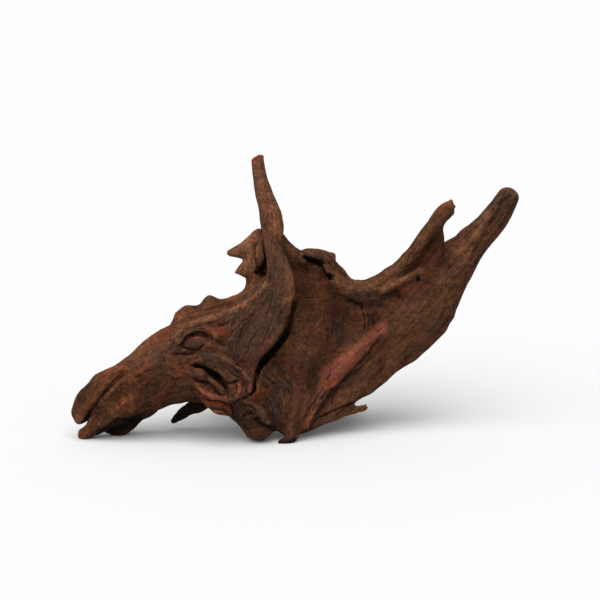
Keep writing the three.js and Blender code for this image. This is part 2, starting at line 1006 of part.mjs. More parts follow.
const limbs = [snout, core, fin, bowl, rightLimb, back, horn].flatMap((part) => part()).map(makeLimb);
const surface = thin(meshField(sampleField(limbs, hollows().map(makeLimb))), TRIANGLES);
const material = new THREE.MeshStandardMaterial({ color: WOOD_COLOUR, roughness: 0.85, metalness: 0 });
const root = new THREE.Mesh(await standOnFeet(geometryOf(surface)), material);
root.name = 'driftwood_root';

const group = new THREE.Group();
group.add(root);

export default group;
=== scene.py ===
import itertools
import math

import bpy
import numpy as np
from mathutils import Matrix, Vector


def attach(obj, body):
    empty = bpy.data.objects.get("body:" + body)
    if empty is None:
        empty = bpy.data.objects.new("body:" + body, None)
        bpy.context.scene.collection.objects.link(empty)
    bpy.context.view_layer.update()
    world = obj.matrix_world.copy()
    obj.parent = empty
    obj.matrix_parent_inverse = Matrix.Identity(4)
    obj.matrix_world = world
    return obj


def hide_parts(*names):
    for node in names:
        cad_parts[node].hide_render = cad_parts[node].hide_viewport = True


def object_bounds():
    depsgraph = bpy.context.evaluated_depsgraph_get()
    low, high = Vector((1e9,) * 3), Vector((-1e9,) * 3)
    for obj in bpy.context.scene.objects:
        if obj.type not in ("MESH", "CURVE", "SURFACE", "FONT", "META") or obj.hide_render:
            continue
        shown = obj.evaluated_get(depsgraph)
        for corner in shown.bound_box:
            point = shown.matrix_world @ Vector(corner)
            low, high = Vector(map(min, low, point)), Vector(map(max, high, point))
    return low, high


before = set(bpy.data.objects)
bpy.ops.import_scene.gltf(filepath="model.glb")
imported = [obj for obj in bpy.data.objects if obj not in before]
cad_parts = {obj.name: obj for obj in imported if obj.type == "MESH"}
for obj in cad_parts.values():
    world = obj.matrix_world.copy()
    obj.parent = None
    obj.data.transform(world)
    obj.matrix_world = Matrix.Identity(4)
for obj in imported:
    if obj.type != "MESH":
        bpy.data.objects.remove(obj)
cad_low, cad_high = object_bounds()

# Where the sketch stands in the frame: leaned back, its origin a little below the floor
SKETCH_PLACE = np.array([-1.3, -29.2, -1.2])
LEAN = math.radians(12)
MM = 0.001

# Fine mesh
GRID = 0.66  # spacing of the first fine mesh
TRIANGLES = 186000  # left in the finished mesh
SMOOTHING = 16  # rounds that take the solid's flat faces away
KEEP_INSIDE = 0.05  # how far the surface stays within the solid's box
RESTING = 0.4  # points lower than this rest on the floor, and nothing lifts them off it

# What each point keeps for the material, three values to a name
STORED = {
    "stain_warm": ("rust", "pink", "ochre"),
    "cool_stain_and_shade": ("grey", "painted_shade", "pale"),
    "relief_and_shade": ("fine", "broad", "groove_shade"),
}
# Kinds of relief: rounds that smooth the surface it is measured from, and the depth that counts as full
RELIEF = {"fine": (3, 0.25), "broad": (40, 1.6)}
GRAIN_APART = 200  # set between the grains of two guides, so that their noises differ

# Floor and light
FLOOR_SIZE = 40  # metres
FLOOR_SEEN = (0.88, 0.88, 0.88, 1.0)
FLOOR_BOUNCE = (0.42, 0.42, 0.42, 1.0)  # the floor as it lights the root from below
LIGHT_PLACE = (-0.35, -0.9, 1.5)
LIGHT_STRENGTH = 2.7
LIGHT_SOFTNESS = math.radians(70)
WHITE = (1.0, 1.0, 1.0, 1.0)
WORLD_STRENGTH = 0.4

# Camera
LENS = 111.43
SENSOR = 36
CAMERA_PLACE = (0.0022, -1.2804, 0.3656)
CAMERA_TILT = math.radians(78)
VIEW_END = 100  # metres


def turn_to_sketch(directions):
    """Directions of the frame as directions of the sketch."""
    s, c = math.sin(LEAN), math.cos(LEAN)
    x, y, z = directions.T
    return np.column_stack((x, y * s + z * c, z * s - y * c))


def turn_to_frame(directions):
    """Directions of the sketch as directions of the frame."""
    s, c = math.sin(LEAN), math.cos(LEAN)
    x, y, z = directions.T
    return np.column_stack((x, y * s - z * c, y * c + z * s))


def to_sketch(points):
    """Points of the frame, in millimetres, as points of the sketch."""
    return turn_to_sketch(points - SKETCH_PLACE)


def smoothstep(low, high, value):
    """0 up to low, 1 from high, and soft between them."""
    t = np.clip((value - low) / (high - low), 0, 1)
    return t * t * (3 - 2 * t)


# Noise

def scatter(i, j, k, seed):
    """A value between -1 and 1 for each point of a lattice. The large odd numbers stir its bits."""
    h = (i * 374761393 + j * 668265263 + k * 1440662683 + seed * 974711) & 0xFFFFFFFF
    h = ((h ^ (h >> 13)) * 1274126177) & 0xFFFFFFFF
    return ((h ^ (h >> 16)) & 0xFFFF) / 32767.5 - 1


def noise(points, size, seed):
    """Smooth noise between -1 and 1. size is its spacing, one number or one for each axis.

    Each seed gives a pattern of its own."""
    q = points / size
    base = np.floor(q).astype(np.int64)
    ease = smoothstep(0, 1, q - base)
    total = np.zeros(len(q))
    for corner in itertools.product((0, 1), repeat=3):
        weight = np.ones(len(q))
        for axis, side in enumerate(corner):
            weight *= ease[:, axis] if side else 1 - ease[:, axis]
        total += weight * scatter(*(base + corner).T, seed)
    return total


def layered(points, size, seed, layers=3):
    """Noise with finer noise on it."""
    total = np.zeros(len(points))
    for n in range(layers):
        total += noise(points, size / 2 ** n, seed + n) / 2 ** n
    return total / (2 - 0.5 ** (layers - 1))


# Grain: the lines that the fibres follow. A station is x, y, z, half width, half thickness.

FRONT = (0, 0, 1)
UP = (0, 1, 0)
GUIDES = {
    "snout": (FRONT, [
        (-156, 18, 2, 9, 9), (-142, 25, 4, 14, 11), (-125, 34, 5, 18, 13), (-105, 46, 6, 20, 16),
        (-85, 55, 8, 24, 18), (-68, 57, 9, 27, 20), (-50, 52, 11, 29, 20), (-38, 42, 12, 28, 20),
        (-29, 30, 10, 22, 18), (-26, 12, 8, 14, 13), (-25, 2, 7, 9, 9)]),
    "horn": (FRONT, [
        (-40, 50, 17, 14, 8), (-35, 62, 24, 17, 8), (-28, 77, 26, 20, 8), (-20, 92, 25, 19, 8),
        (-13.5, 105, 23, 13, 8), (-11.6, 120, 18, 9, 7), (-15, 140, 12, 7, 7), (-17, 157, 9, 8, 7),
        (-22, 175, 6, 6, 6), (-26, 199, 3.5, 5, 5)]),
    "fin": (FRONT, [
        (-92, 76, 3, 9, 9), (-76, 84, 0, 11, 9), (-58, 88, -2, 12, 9), (-42, 92, -4, 12, 9),
        (-28, 104, -6, 13, 8), (-24, 120, -7, 15, 7), (-24, 148, -9, 12, 5)]),
    "bowl": (FRONT, [
        (-6, -1, 8, 5, 4), (-3, 12, 5, 10, 7), (0, 28, 3, 17, 7), (6, 50, -2, 26, 7),
        (14, 74, -8, 33, 7), (17, 98, -11, 31, 7), (10, 120, -10, 20, 6), (4, 136, -9, 12, 5)]),
    "rim": (FRONT, [
        (-6, 136, -8, 7, 5), (8, 131, -2, 6, 5), (20, 129, 1, 6, 5), (27, 118, 0, 7, 6),
        (34, 108, -2, 7, 6), (46, 105, -3, 8, 7), (60, 109, -3, 8, 7), (74, 121, 1, 8, 7),
        (86, 136, 4, 7, 6), (98, 154, 6, 6, 5), (109, 166, 5, 4, 4)]),
    "limb": (FRONT, [
        (4, 10, 0, 6, 5), (22, 30, -7, 14, 7), (40, 48, -9, 22, 8), (58, 66, -11, 26, 9),
        (77, 85, -12, 29, 9), (92, 103, -13, 28, 9), (107, 120, -13, 19, 8), (122, 135, -13, 12, 8),
        (137, 151, -14, 10, 7), (148, 165, -17, 9, 7), (154, 176, -19, 8, 6)]),
    "strip": (FRONT, [
        (6, 8, 6, 4, 4), (14, 24, 6, 5, 4), (20, 36, 5, 6, 5), (30, 50, 4, 9, 5), (40, 60, 2, 10, 5),
        (52, 71, -1, 7, 5), (62, 78, -4, 4, 4)]),
    "cross root": (FRONT, [
        (-90, 54, -6, 14, 10), (-62, 56, -8, 18, 13), (-30, 58, -17, 18, 14), (0, 61, -22, 17, 13),
        (26, 66, -25, 15, 11), (52, 74, -24, 13, 10), (84, 95, -20, 12, 8)]),
    "rib": (FRONT, [
        (-8, 58, -24, 12, 11), (4, 86, -26, 10, 9), (8, 106, -20, 8, 7), (4, 126, -14, 6, 5)]),
    "back foot": (UP, [
        (-4, 66, -16, 18, 18), (14, 54, -34, 14, 14), (24, 43, -48, 10, 11), (31, 30, -60, 10, 9),
        (41, 24, -69, 8, 8), (48, 21, -78, 6, 6)]),
    "toe": (UP, [(24, 44, -46, 8, 8), (17, 33, -60, 6, 6), (7, 27, -69, 4, 4), (1, 21, -76, 3, 3)]),
    "stub": (UP, [
        (-44, 54, -6, 20, 19), (-47, 60, -24, 14, 14), (-56, 67, -36, 10, 10), (-66, 72, -43, 7, 7),
        (-74, 70, -51, 4, 4)]),
    "stub branch": (UP, [
        (-52, 64, -30, 8, 8), (-48, 76, -42, 6, 6), (-44, 86, -48, 4, 4), (-44, 93, -50, 2, 2)]),
    "side root": (UP, [
        (44, 74, -20, 14, 12), (62, 76, -32, 9, 8), (74, 70, -42, 6, 6), (84, 70, -51, 4, 4),
        (90, 65, -59, 3, 3)]),
    "twig": (FRONT, [
        (-52, 34, -4, 8, 7), (-68, 25, -14, 6, 5), (-79, 19, -21, 4, 3), (-87, 13, -26, 3, 2)]),
}
GUIDE_NAMES = list(GUIDES)

# How much of the grown relief a guide's wood has, where it isn't 1
ROUGHNESS = {"horn": 0.7, "bowl": 0.55, "limb": 0.6, "strip": 0.6, "cross root": 0.9}


def along_guide(points, facing, stations):
    """Each point's place beside a guide: along, across and through, in millimetres.

    With it comes how far out the point is, in half widths and squared."""
    best = np.full(len(points), np.inf)
    place = np.zeros((len(points), 3))
    run = 0.0
    stations = np.array(stations, float)
    for a, b in zip(stations[:-1], stations[1:]):
        step = b[:3] - a[:3]
        length = np.linalg.norm(step)
        along = step / length
        front = np.array(facing, float)
        front -= along * front.dot(along)
        front /= np.linalg.norm(front)
        side = np.cross(along, front)
        offset = points - a[:3]
        t = np.clip(offset @ along / length, 0, 1)
        away = offset - t[:, None] * step
        across, through, beyond = away @ side, away @ front, away @ along
        wide = a[3] + (b[3] - a[3]) * t
        thick = a[4] + (b[4] - a[4]) * t
        out = (across / wide) ** 2 + (through / thick) ** 2 + (beyond / np.minimum(wide, thick)) ** 2
        nearer = out < best
        best[nearer] = out[nearer]
        place[nearer] = np.column_stack((run + t * length + beyond, across, through))[nearer]
        run += length
    return place, best


def read_grain(points):
    """Each point's place beside every guide, and the guides' shares in it."""
    places = []
    weights = []
    for facing, stations in GUIDES.values():
        place, out = along_guide(points, facing, stations)
        places.append(place)
        weights.append(1 / (out + 0.05) ** 3)  # finite on the guide itself
    weights = np.array(weights)
    return places, weights / weights.sum(0)


def grain_sum(places, weights, form):
    """Adds up form(place, guide number), each guide by its share."""
    total = np.zeros(weights.shape[1])
    for n, place in enumerate(places):
        near = weights[n] > 0.03  # smaller shares don't show
        total[near] += weights[n][near] * form(place[near], n)
    return total


# Worked lines: (guides that carry it, half width, depth or height, points in x and y)
GROOVES = [
    # mouth, chin and nick of the snout
    ("snout", 0.7, 0.5, [(-146, 17), (-141, 23), (-135, 30.5), (-130, 37)]),
    ("snout", 1.4, 2.2, [(-138, 7), (-133, 8.4), (-128, 11.4), (-122, 15.6), (-117, 15), (-112, 13)]),
    ("snout", 0.7, 0.7, [(-121, 28), (-121, 25), (-119.6, 22)]),
    ("snout", 0.6, 0.5, [(-131, 37), (-125, 43), (-120, 48), (-116, 50.5)]),
    # brow
    ("snout", 0.9, 1.0, [(-77.5, 71), (-74.5, 73.2), (-70.5, 75.2), (-66, 76), (-62, 75.6), (-60, 74.6)]),
    ("snout", 0.6, 0.6, [(-79, 73), (-75.4, 76.4), (-70, 78.8), (-65, 79), (-61, 78)]),
    ("snout", 0.9, 1.3, [
        (-78.5, 67.4), (-75, 65.8), (-70.5, 64.8), (-66.4, 64.6), (-64.4, 66.2), (-62.4, 68)]),
    ("snout", 0.8, 0.9, [(-84, 60.8), (-79, 61.8), (-74.6, 61.2), (-70, 61.8), (-67, 63.4)]),
    # eye slit, its lower lid and the folds round it
    ("snout", 0.8, 1.2, [(-69, 54.2), (-65.5, 53.6), (-62, 52)]),
    ("snout", 1.7, 2.4, [
        (-63, 51.4), (-59, 48.8), (-56, 46.6), (-52, 44.4), (-49.4, 41.8), (-47.2, 38.8), (-46.4, 36)]),
    ("snout fin horn", 0.8, 0.9, [(-61, 80.8), (-55, 80.2), (-50, 81.4), (-45, 83.4)]),
    ("snout", 0.9, 1.5, [
        (-71, 45), (-66.5, 43.4), (-62, 42), (-58, 41), (-55.6, 39), (-53.6, 36.4), (-51, 34),
        (-48.6, 33.2), (-47, 34.4)]),
    ("snout", 0.7, 0.9, [(-61.4, 46.6), (-60, 44.2), (-58.6, 42.4)]),
    ("snout", 0.6, 0.7, [(-53, 40.6), (-51.6, 38), (-51.8, 35.6)]),
    ("snout", 0.9, 1.2, [(-48, 42.6), (-45, 41.2), (-42, 41.6), (-39, 43.6)]),
    ("snout", 0.7, 0.7, [(-44, 48.6), (-41, 46.4), (-38, 45.6)]),
    ("snout", 0.8, 0.9, [(-44, 57), (-41, 54.8), (-37, 53), (-34, 52.6)]),
    ("snout", 0.6, 0.5, [(-43, 57.6), (-40, 60.2), (-36, 60.6), (-33, 58)]),
    ("snout", 0.9, 1.4, [(-28.2, 42.6), (-28.5, 38), (-29.4, 35), (-32.4, 32.8)]),
    ("snout", 0.6, 0.5, [(-40.6, 42.4), (-39.4, 39), (-40, 35), (-42.4, 32.6)]),
    ("snout", 0.6, 0.5, [(-36.4, 42), (-35.2, 38.8), (-35.8, 35.4), (-38, 33)]),
    ("snout", 0.6, 0.5, [(-33.2, 41.6), (-32.6, 38.4), (-33.4, 35.4)]),
    ("snout", 0.9, 1.3, [(-62, 31), (-58, 30), (-53, 29.8), (-49, 28.6), (-45.8, 26)]),
    ("snout", 0.8, 0.9, [(-60, 24.6), (-55, 24.4), (-50, 23.4), (-46, 20.6)]),
    ("snout", 0.9, 1.4, [(-44.4, 28), (-42.6, 25), (-41.8, 21.6), (-42.4, 18.6)]),
    ("snout", 0.8, 0.7, [(-72, 38), (-67, 37), (-64, 33.4)]),
    # knob
    ("snout bowl", 1.5, 2.0, [(-29, 17.4), (-26, 15), (-22.6, 12.4), (-18.6, 10.4), (-14.6, 9.2)]),
    ("snout", 0.8, 0.8, [(-43, 27.4), (-39, 29.6), (-35, 31.4), (-32, 31.6)]),
    ("snout", 0.7, 0.6, [(-41, 22), (-38, 25.4), (-33, 26.8), (-28.6, 25), (-26, 20.6)]),
    ("snout", 0.7, 0.5, [(-36, 18), (-33, 20.6), (-29.6, 21)]),
    ("snout", 0.9, 1.0, [(-36.4, 12), (-33.4, 9.6), (-30.4, 9.8)]),
    ("snout bowl", 0.6, 0.45, [(-24, 32), (-20.6, 29), (-18.6, 25), (-18, 20.6), (-16, 16), (-13.6, 12)]),
    ("snout bowl", 0.6, 0.35, [(-21.4, 33), (-17.6, 28.4), (-15.6, 23.6), (-15, 19), (-13, 14.6)]),
    # knot of the lower bowl
    ("snout bowl", 0.7, 0.6, [(-25, 49), (-20, 45.6), (-16.4, 42.4), (-13, 40.4)]),
    ("bowl snout", 0.7, 0.6, [(-14.6, 41), (-10.6, 42), (-7, 40), (-6, 36.4), (-7.6, 33.6)]),
    ("bowl snout", 0.6, 0.4, [(-12, 38.8), (-9.4, 38.2), (-8.4, 36)]),
    ("bowl", 0.7, 0.3, [(-1, 44), (0.6, 38), (1, 31)]),
    # foot of the horn, beside the gap
    ("horn bowl", 1.3, 3.0, [(1.2, 99), (0.2, 95), (-1.4, 89), (-3.8, 82), (-6.2, 76), (-10, 70)]),
    ("horn", 0.6, 0.5, [(-15, 104), (-16.4, 97), (-19, 90), (-21.6, 84)]),
    ("horn", 0.6, 0.3, [(-9, 93), (-10, 85), (-12, 78)]),
    ("horn", 0.6, 0.6, [(-27, 90), (-31, 87), (-36, 84.4), (-39, 80)]),
    ("horn", 0.6, 0.5, [(-39, 80), (-43, 75.6), (-46, 72)]),
    ("horn", 0.6, 0.4, [(-38.6, 88), (-38, 82), (-40, 78)]),
    ("horn", 0.6, 0.4, [(-22, 82), (-27, 75), (-32, 69), (-37, 64)]),
    ("horn", 0.6, 0.4, [(-13, 97), (-15, 86), (-19, 76), (-24, 67)]),
    ("horn", 0.6, 0.4, [(-19, 99), (-24, 90), (-30, 82), (-37, 75)]),
    ("horn", 0.6, 0.35, [(-23, 96), (-28, 89), (-34, 81), (-40, 76)]),
    ("horn", 0.6, 0.35, [(-11, 118), (-12, 108), (-14, 98)]),
    ("horn", 0.6, 0.35, [(-16, 150), (-14, 138), (-13.5, 124), (-15, 112)]),
    ("horn", 0.6, 0.3, [(-8, 93.4), (-2, 92.6)]),
    ("horn", 0.6, 0.4, [(-29.5, 190), (-25, 189.4), (-21, 190)]),
    ("horn", 0.6, 0.35, [(-24.5, 174.5), (-20, 173.6), (-16, 174)]),
    ("horn", 0.6, 0.3, [(-22, 172), (-20, 163), (-18.5, 154), (-18, 146)]),
    ("horn", 0.6, 0.35, [(-28, 184), (-24, 183), (-20.6, 184)]),
    ("horn", 0.5, 0.3, [(-19, 168), (-15.6, 167), (-12.4, 168)]),
    # fin, its pocket and the saddle
    ("fin", 1.1, 1.2, [(-20.6, 141), (-20.2, 130), (-21, 122)]),
    ("fin", 0.8, 1.0, [(-25, 141.6), (-28, 136), (-28.6, 128), (-26.8, 122.6), (-23, 120.2)]),
    ("fin", 0.9, 0.8, [(-52, 85), (-47, 87.5), (-42, 90)]),
    ("fin snout", 0.9, 0.8, [(-80, 76), (-72, 79.8), (-63, 81.6), (-54, 84.6), (-46, 87.6), (-38, 90)]),
    ("fin", 0.9, 0.6, [(-78, 84), (-74, 80.8), (-68, 81)]),
    ("fin", 0.9, 0.4, [(-70, 92), (-62, 92), (-52, 94), (-40, 98), (-31, 106)]),
    ("fin", 0.7, 0.4, [(-38, 131), (-31, 133), (-27, 140)]),
    # slit under the rim's arch, cracks of the bowl
    ("bowl rim", 1.2, 1.4, [(8, 128.6), (10.6, 126.6), (14, 126), (17, 124.8)]),
    ("bowl", 0.5, 0.3, [(3, 100.6), (10, 99.8), (18, 100)]),
    ("bowl", 0.6, 0.4, [(-7, 136), (-6, 128), (-3, 121)]),
    ("bowl limb rim", 0.7, 1.1, [(47, 92), (48.7, 86), (48.7, 80), (49, 75)]),
    ("bowl limb rim", 0.6, 0.5, [(49, 88), (53, 87.4), (56, 86)]),
    ("bowl limb rim", 1.4, 1.2, [(37, 98.5), (41, 96.6), (45.6, 95), (48.4, 92)]),
    # edges of the pink strip
    ("bowl limb strip", 1.1, 1.6, [
        (64, 77), (58, 70.4), (52, 62.4), (42, 51.6), (35, 43.5), (31, 40.5), (26, 35.5), (20, 26.5),
        (14, 16.5), (10, 8.5)]),
    ("bowl strip", 0.7, 0.3, [(38, 60), (31, 55), (26, 49), (22, 42)]),
    ("bowl strip", 0.7, 0.5, [(20, 39), (17, 34), (12, 27), (7.6, 19), (4.6, 12)]),
    # rim, broad limb and prongs
    ("rim", 0.7, 0.3, [(30, 113), (38, 107), (50, 106), (62, 110), (72, 118)]),
    ("rim", 0.6, 0.4, [(16, 132), (21, 127), (26, 121)]),
    ("rim", 0.6, 0.3, [(22, 131), (26, 126), (30, 120)]),
    ("rim limb", 0.8, 0.4, [(60, 100.6), (70, 104), (80, 110.6), (88, 116)]),
    ("limb", 1.3, 0.8, [
        (152, 174), (146, 168), (143, 162), (139, 155), (134, 147), (128, 137), (123, 127)]),
    ("limb", 0.8, 0.3, [(156, 168), (150, 158), (143, 149)]),
    ("limb", 0.7, 0.2, [(112, 121), (102, 107), (90, 92), (76, 77)]),
    ("limb", 0.7, 0.35, [(113, 94), (106, 82), (98, 73)]),
    ("limb", 0.7, 0.25, [(109, 97), (102, 85), (94, 75)]),
    ("limb", 0.9, 1.2, [(50, 28), (40, 25.6), (28, 21.4), (16, 16), (8, 11)]),
]

RIDGES = [
    ("fin horn snout", 1.7, 1.5, [
        (-84, 74), (-76, 80), (-66, 84), (-60, 86), (-55, 88), (-50, 90), (-40, 93), (-30, 98.5),
        (-24, 104), (-20, 112)]),
    ("snout", 1.3, 0.8, [(-86, 49.4), (-78, 52.6), (-70, 55.6), (-62, 58.4)]),
    ("fin", 1.3, 0.8, [(-31, 141), (-31, 133), (-30, 125)]),
    ("snout", 1.5, 1.0, [(-131, 36.5), (-125, 42.5), (-120, 47.5), (-114, 51.5)]),
    ("snout", 1.6, 0.5, [(-145, 27), (-138, 35), (-130, 43)]),
    ("snout", 2.4, 0.6, [(-112, 60), (-100, 67), (-88, 74)]),
    ("snout", 2.2, 0.7, [(-82, 68), (-79.4, 71.4), (-76, 75), (-71.5, 78)]),
    ("snout", 1.0, 0.8, [(-76, 69.8), (-71, 72.4), (-65, 73.2), (-60, 72.6)]),
    ("snout", 2.2, 1.2, [(-68, 56.6), (-60, 54.4), (-55, 51), (-50, 48), (-45, 45.4)]),
    ("snout", 1.6, 1.1, [
        (-50, 59.4), (-45, 56.6), (-41, 53.6), (-37, 51.4), (-35, 48.4), (-34, 45.4), (-31, 44.4),
        (-28.6, 43.8)]),
    ("snout", 0.9, 0.4, [(-38.2, 41.4), (-37.2, 38), (-38.4, 34.4)]),
    ("snout", 0.9, 0.3, [(-31.2, 41), (-30.6, 38), (-31.2, 35.6)]),
    ("snout", 2.0, 1.4, [(-66, 36.6), (-61, 34.6), (-56, 32.4), (-50, 31), (-46, 30.4)]),
    ("snout", 1.7, 1.4, [(-58, 26.8), (-53, 27.6), (-49, 26.6), (-46, 24.4), (-44, 22)]),
    ("bowl strip limb", 5.2, 1.1, [(24, 47), (33, 54.4), (42, 61.6), (52, 69.6), (60, 76.6)]),
    ("bowl strip", 2.2, 0.6, [(8, 13), (13, 22), (18, 31)]),
    ("bowl rim", 2.0, 3.4, [(18.4, 123), (20.6, 119.8), (23.4, 116.4)]),
    ("bowl", 1.5, 0.4, [(16, 118), (15, 110), (15, 103)]),
    ("rim", 1.6, 0.6, [(33, 110), (40, 106.4), (50, 105), (60, 108), (67, 112)]),
    ("rim limb", 2.0, 1.7, [(58, 103.4), (66, 107), (72, 110.4), (78, 114.6), (84, 118.4), (88.4, 120)]),
    ("limb", 1.8, 0.5, [(148, 172), (139, 161), (132, 151), (124, 141), (116, 132)]),
]

# Round lumps, height over 0, and pits, height under 0: (guides, x, y, half width, half height, turn, height)
LUMPS = [
    ("snout", -70, 69.2, 7.4, 2.6, 14, 0.8),
    ("snout", -70, 63.2, 2.4, 1.0, 8, -0.8),
    ("snout", -64.6, 48, 4.2, 3.2, -25, 2.4),
    ("snout", -56, 42.6, 5.0, 1.9, -32, 1.5),
    ("snout", -49.8, 37.4, 2.6, 4.0, 20, 1.5),
    ("snout", -54, 47, 5.6, 2.6, -35, -1.7),
    ("snout", -37.4, 56.8, 4.2, 2.6, 10, -0.6),
    ("snout fin horn", -49, 85.8, 6.4, 2.4, 18, 0.9),
    ("snout horn", -53, 71.6, 4.4, 1.8, -14, 1.0),
    ("snout", -52, 21.6, 5.4, 2.2, -6, 1.0),
    ("snout", -84, 44, 6, 4, 20, 0.6),
    ("snout", -80, 48, 3, 2.4, 0, 0.7),
    ("snout", -92, 58, 9, 4, 28, 0.6),
    ("snout", -26, 16.8, 2.2, 1.2, 10, -1.0),
    ("snout", -33, 23, 4, 2.4, 10, 0.8),
    ("snout", -21.4, 20, 2.8, 4.4, 15, 0.4),
    ("snout", -27, 8, 5, 3, 5, 0.8),
    ("snout", -38, 19, 3, 2.4, 40, 0.7),
    ("snout", -118.6, 27.6, 1.4, 1.8, -20, 0.8),
    ("snout", -128, 21, 9, 4, 35, 0.5),
    ("snout", -106, 32, 8, 4, 30, -0.5),
    ("snout", -146, 35, 4, 5, 20, 0.6),
    ("bowl snout", -9, 37.4, 2.2, 2.2, 0, 0.3),
    ("bowl rim", 25.4, 114.6, 2.0, 1.6, -45, -1.2),
    ("bowl rim", 12, 130.4, 4.2, 1.8, 0, 0.5),
    ("fin", -27, 118.2, 1.8, 1.2, 0, -1.3),
    ("fin", -22, 117, 1.5, 1.2, 0, -1.2),
    ("fin", -24.6, 130, 2.6, 7.6, 0, 0.7),
    ("rim limb", 86.5, 113, 1.4, 1.4, 0, -2.6),
    ("limb rim", 109, 122, 1.2, 0.8, 30, -0.6),
    ("limb rim", 55, 98.6, 6, 2.8, 8, 0.6),
    ("limb rim", 60, 95, 3, 2, 30, -0.5),
    ("limb rim bowl", 52.6, 83, 2.0, 4.6, 0, 0.9),
    ("limb", 74, 90, 9, 5, 40, 0.6),
    ("strip bowl limb", 26, 39.4, 4.8, 1.5, 28, 1.1),
    ("limb", 96, 104, 9, 6, 45, -0.6),
    ("bowl", 8, 52, 5, 12, 10, 0.4),
    ("bowl", 16, 112, 2.4, 9, 4, 0.5),
]

# Ends that are broken off rather than rounded: (guide, place, direction that the break faces, unevenness)
BREAKS = [
    ("horn", (-27.4, 198.2, 3.5), (-0.6, 0.8, 0.15), 0.9),
    ("rim", (110.2, 165.6, 5), (0.9, 0.42, 0.0), 1.2),
    ("stub", (-72, 70, -50), (-0.6, 0.1, -0.8), 1.2),
    ("stub branch", (-44, 90, -49), (0.1, 0.95, -0.3), 0.8),
    ("side root", (88, 67, -57), (0.6, -0.2, -0.8), 0.8),
    ("toe", (2.4, 22.6, -74), (-0.6, -0.1, -0.7), 0.7),
]
BREAK_REACH = 16

# Small corrections of the outline: (x, y, reach, how far across, how far up)
PULLS = [
    (-150, 14.5, 4, 0, -1.9), (-85, 14, 5, -2.0, -1.6), (-80, 15, 4, 0.3, -0.8), (-67, 20, 4, 0, -1.0),
    (-80, 27, 5, 0, -0.9), (-95, 21, 8, 0, -1.4), (-108, 14, 5, -0.5, 1.6), (-54, 20, 7, 0, 1.3),
    (-43, 14.5, 4, -1.0, -0.7), (-8, 4, 4, 1.0, 0.3), (20, 12, 7, 0, 1.0), (44, 20, 5, 0, -0.9),
    (49, 24, 5, 1.0, -0.3), (52, 35, 6, 0.4, -1.0), (70, 48, 6, -0.6, 0.7), (84, 57, 6, 0.7, -0.7),
    (103, 77, 7, 1.2, -0.8), (119, 149, 6, -0.6, 0.7), (104, 145, 4, 0.6, 0), (93, 154, 8, 0.9, -0.7),
    (110, 166, 3.5, 1.7, 0.4), (58, 117, 5, 0.5, -0.9), (46, 112, 4, 0, 0.7), (40, 116, 5, -0.8, -1.3),
    (27, 128.6, 4, 1.1, 1.1), (-5, 141, 4, -0.6, -0.8), (-9, 148, 6, 0.8, 0), (-25, 163, 7, 0.7, 0),
    (-14, 171, 8, -0.7, -0.2), (-27, 147, 5, -0.4, 1.0), (-35, 142, 5, 0.6, -0.8), (-46, 100, 7, 0, 0.9),
    (-115, 62, 12, 0.5, -0.8), (-128, 53, 6, 0.4, -0.5), (-139, 47, 4, -0.5, 0.6),
    (-146, 41, 5, 0.5, -0.6), (-22.6, 199.4, 1.6, 1.2, 0.2), (26.4, 129.6, 2.5, 0.7, 0.8),
    (48.5, 26, 2.5, 0.4, 1.3), (48.5, 21.4, 3, 0.4, -1.3),
]


def pulled(sketch):
    """How far each point moves, in the sketch, for the corrections of the outline."""
    move = np.zeros_like(sketch)
    for x, y, reach, across, up in PULLS:
        away = np.hypot(sketch[:, 0] - x, sketch[:, 1] - y)
        move += np.exp(-((away / reach) ** 2))[:, None] * np.array([across, up, 0.0])
    return move


def warped(sketch):
    """Places in x and y, shaken a little, so that drawn lines wander like wood."""
    return np.column_stack((
        sketch[:, 0] + 0.5 * noise(sketch, 6, seed=31) + 0.25 * noise(sketch, 2.2, seed=33),
        sketch[:, 1] + 0.5 * noise(sketch, 6, seed=32) + 0.25 * noise(sketch, 2.2, seed=34),
    ))


def from_line(flat, line):
    """How far each point is from a drawn line, and its place along it from 0 to 1."""
    line = np.array(line, float)
    steps = line[1:] - line[:-1]
    lengths = np.linalg.norm(steps, axis=1)
    ends = np.concatenate(([0], np.cumsum(lengths)))
    best = np.full(len(flat), np.inf)
    place = np.zeros(len(flat))
    for a, step, length, start in zip(line[:-1], steps, lengths, ends):
        offset = flat - a
        t = np.clip(offset @ step / length ** 2, 0, 1)
        away = np.linalg.norm(offset - t[:, None] * step, axis=1)
        nearer = away < best
        best[nearer] = away[nearer]
        place[nearer] = (start + t[nearer] * length) / ends[-1]
    return best, place


def near_line(flat, line, reach):
    """Numbers of the points that lie in a line's box, widened by reach."""
    line = np.array(line, float)
    low, high = line.min(0) - reach, line.max(0) + reach
    return np.flatnonzero(((flat > low) & (flat < high)).all(1))


def on_guides(names, weights):
    """How far each point belongs to the guides that are named, in one string: 0 to 1."""
    share = sum(weights[n] for n, name in enumerate(GUIDE_NAMES) if name in names)
    return smoothstep(0.12, 0.5, share)


# A groove's lip: its height as a share of the groove's depth, and its place in half widths
LIP = 0.07
LIP_OUT = 2.1


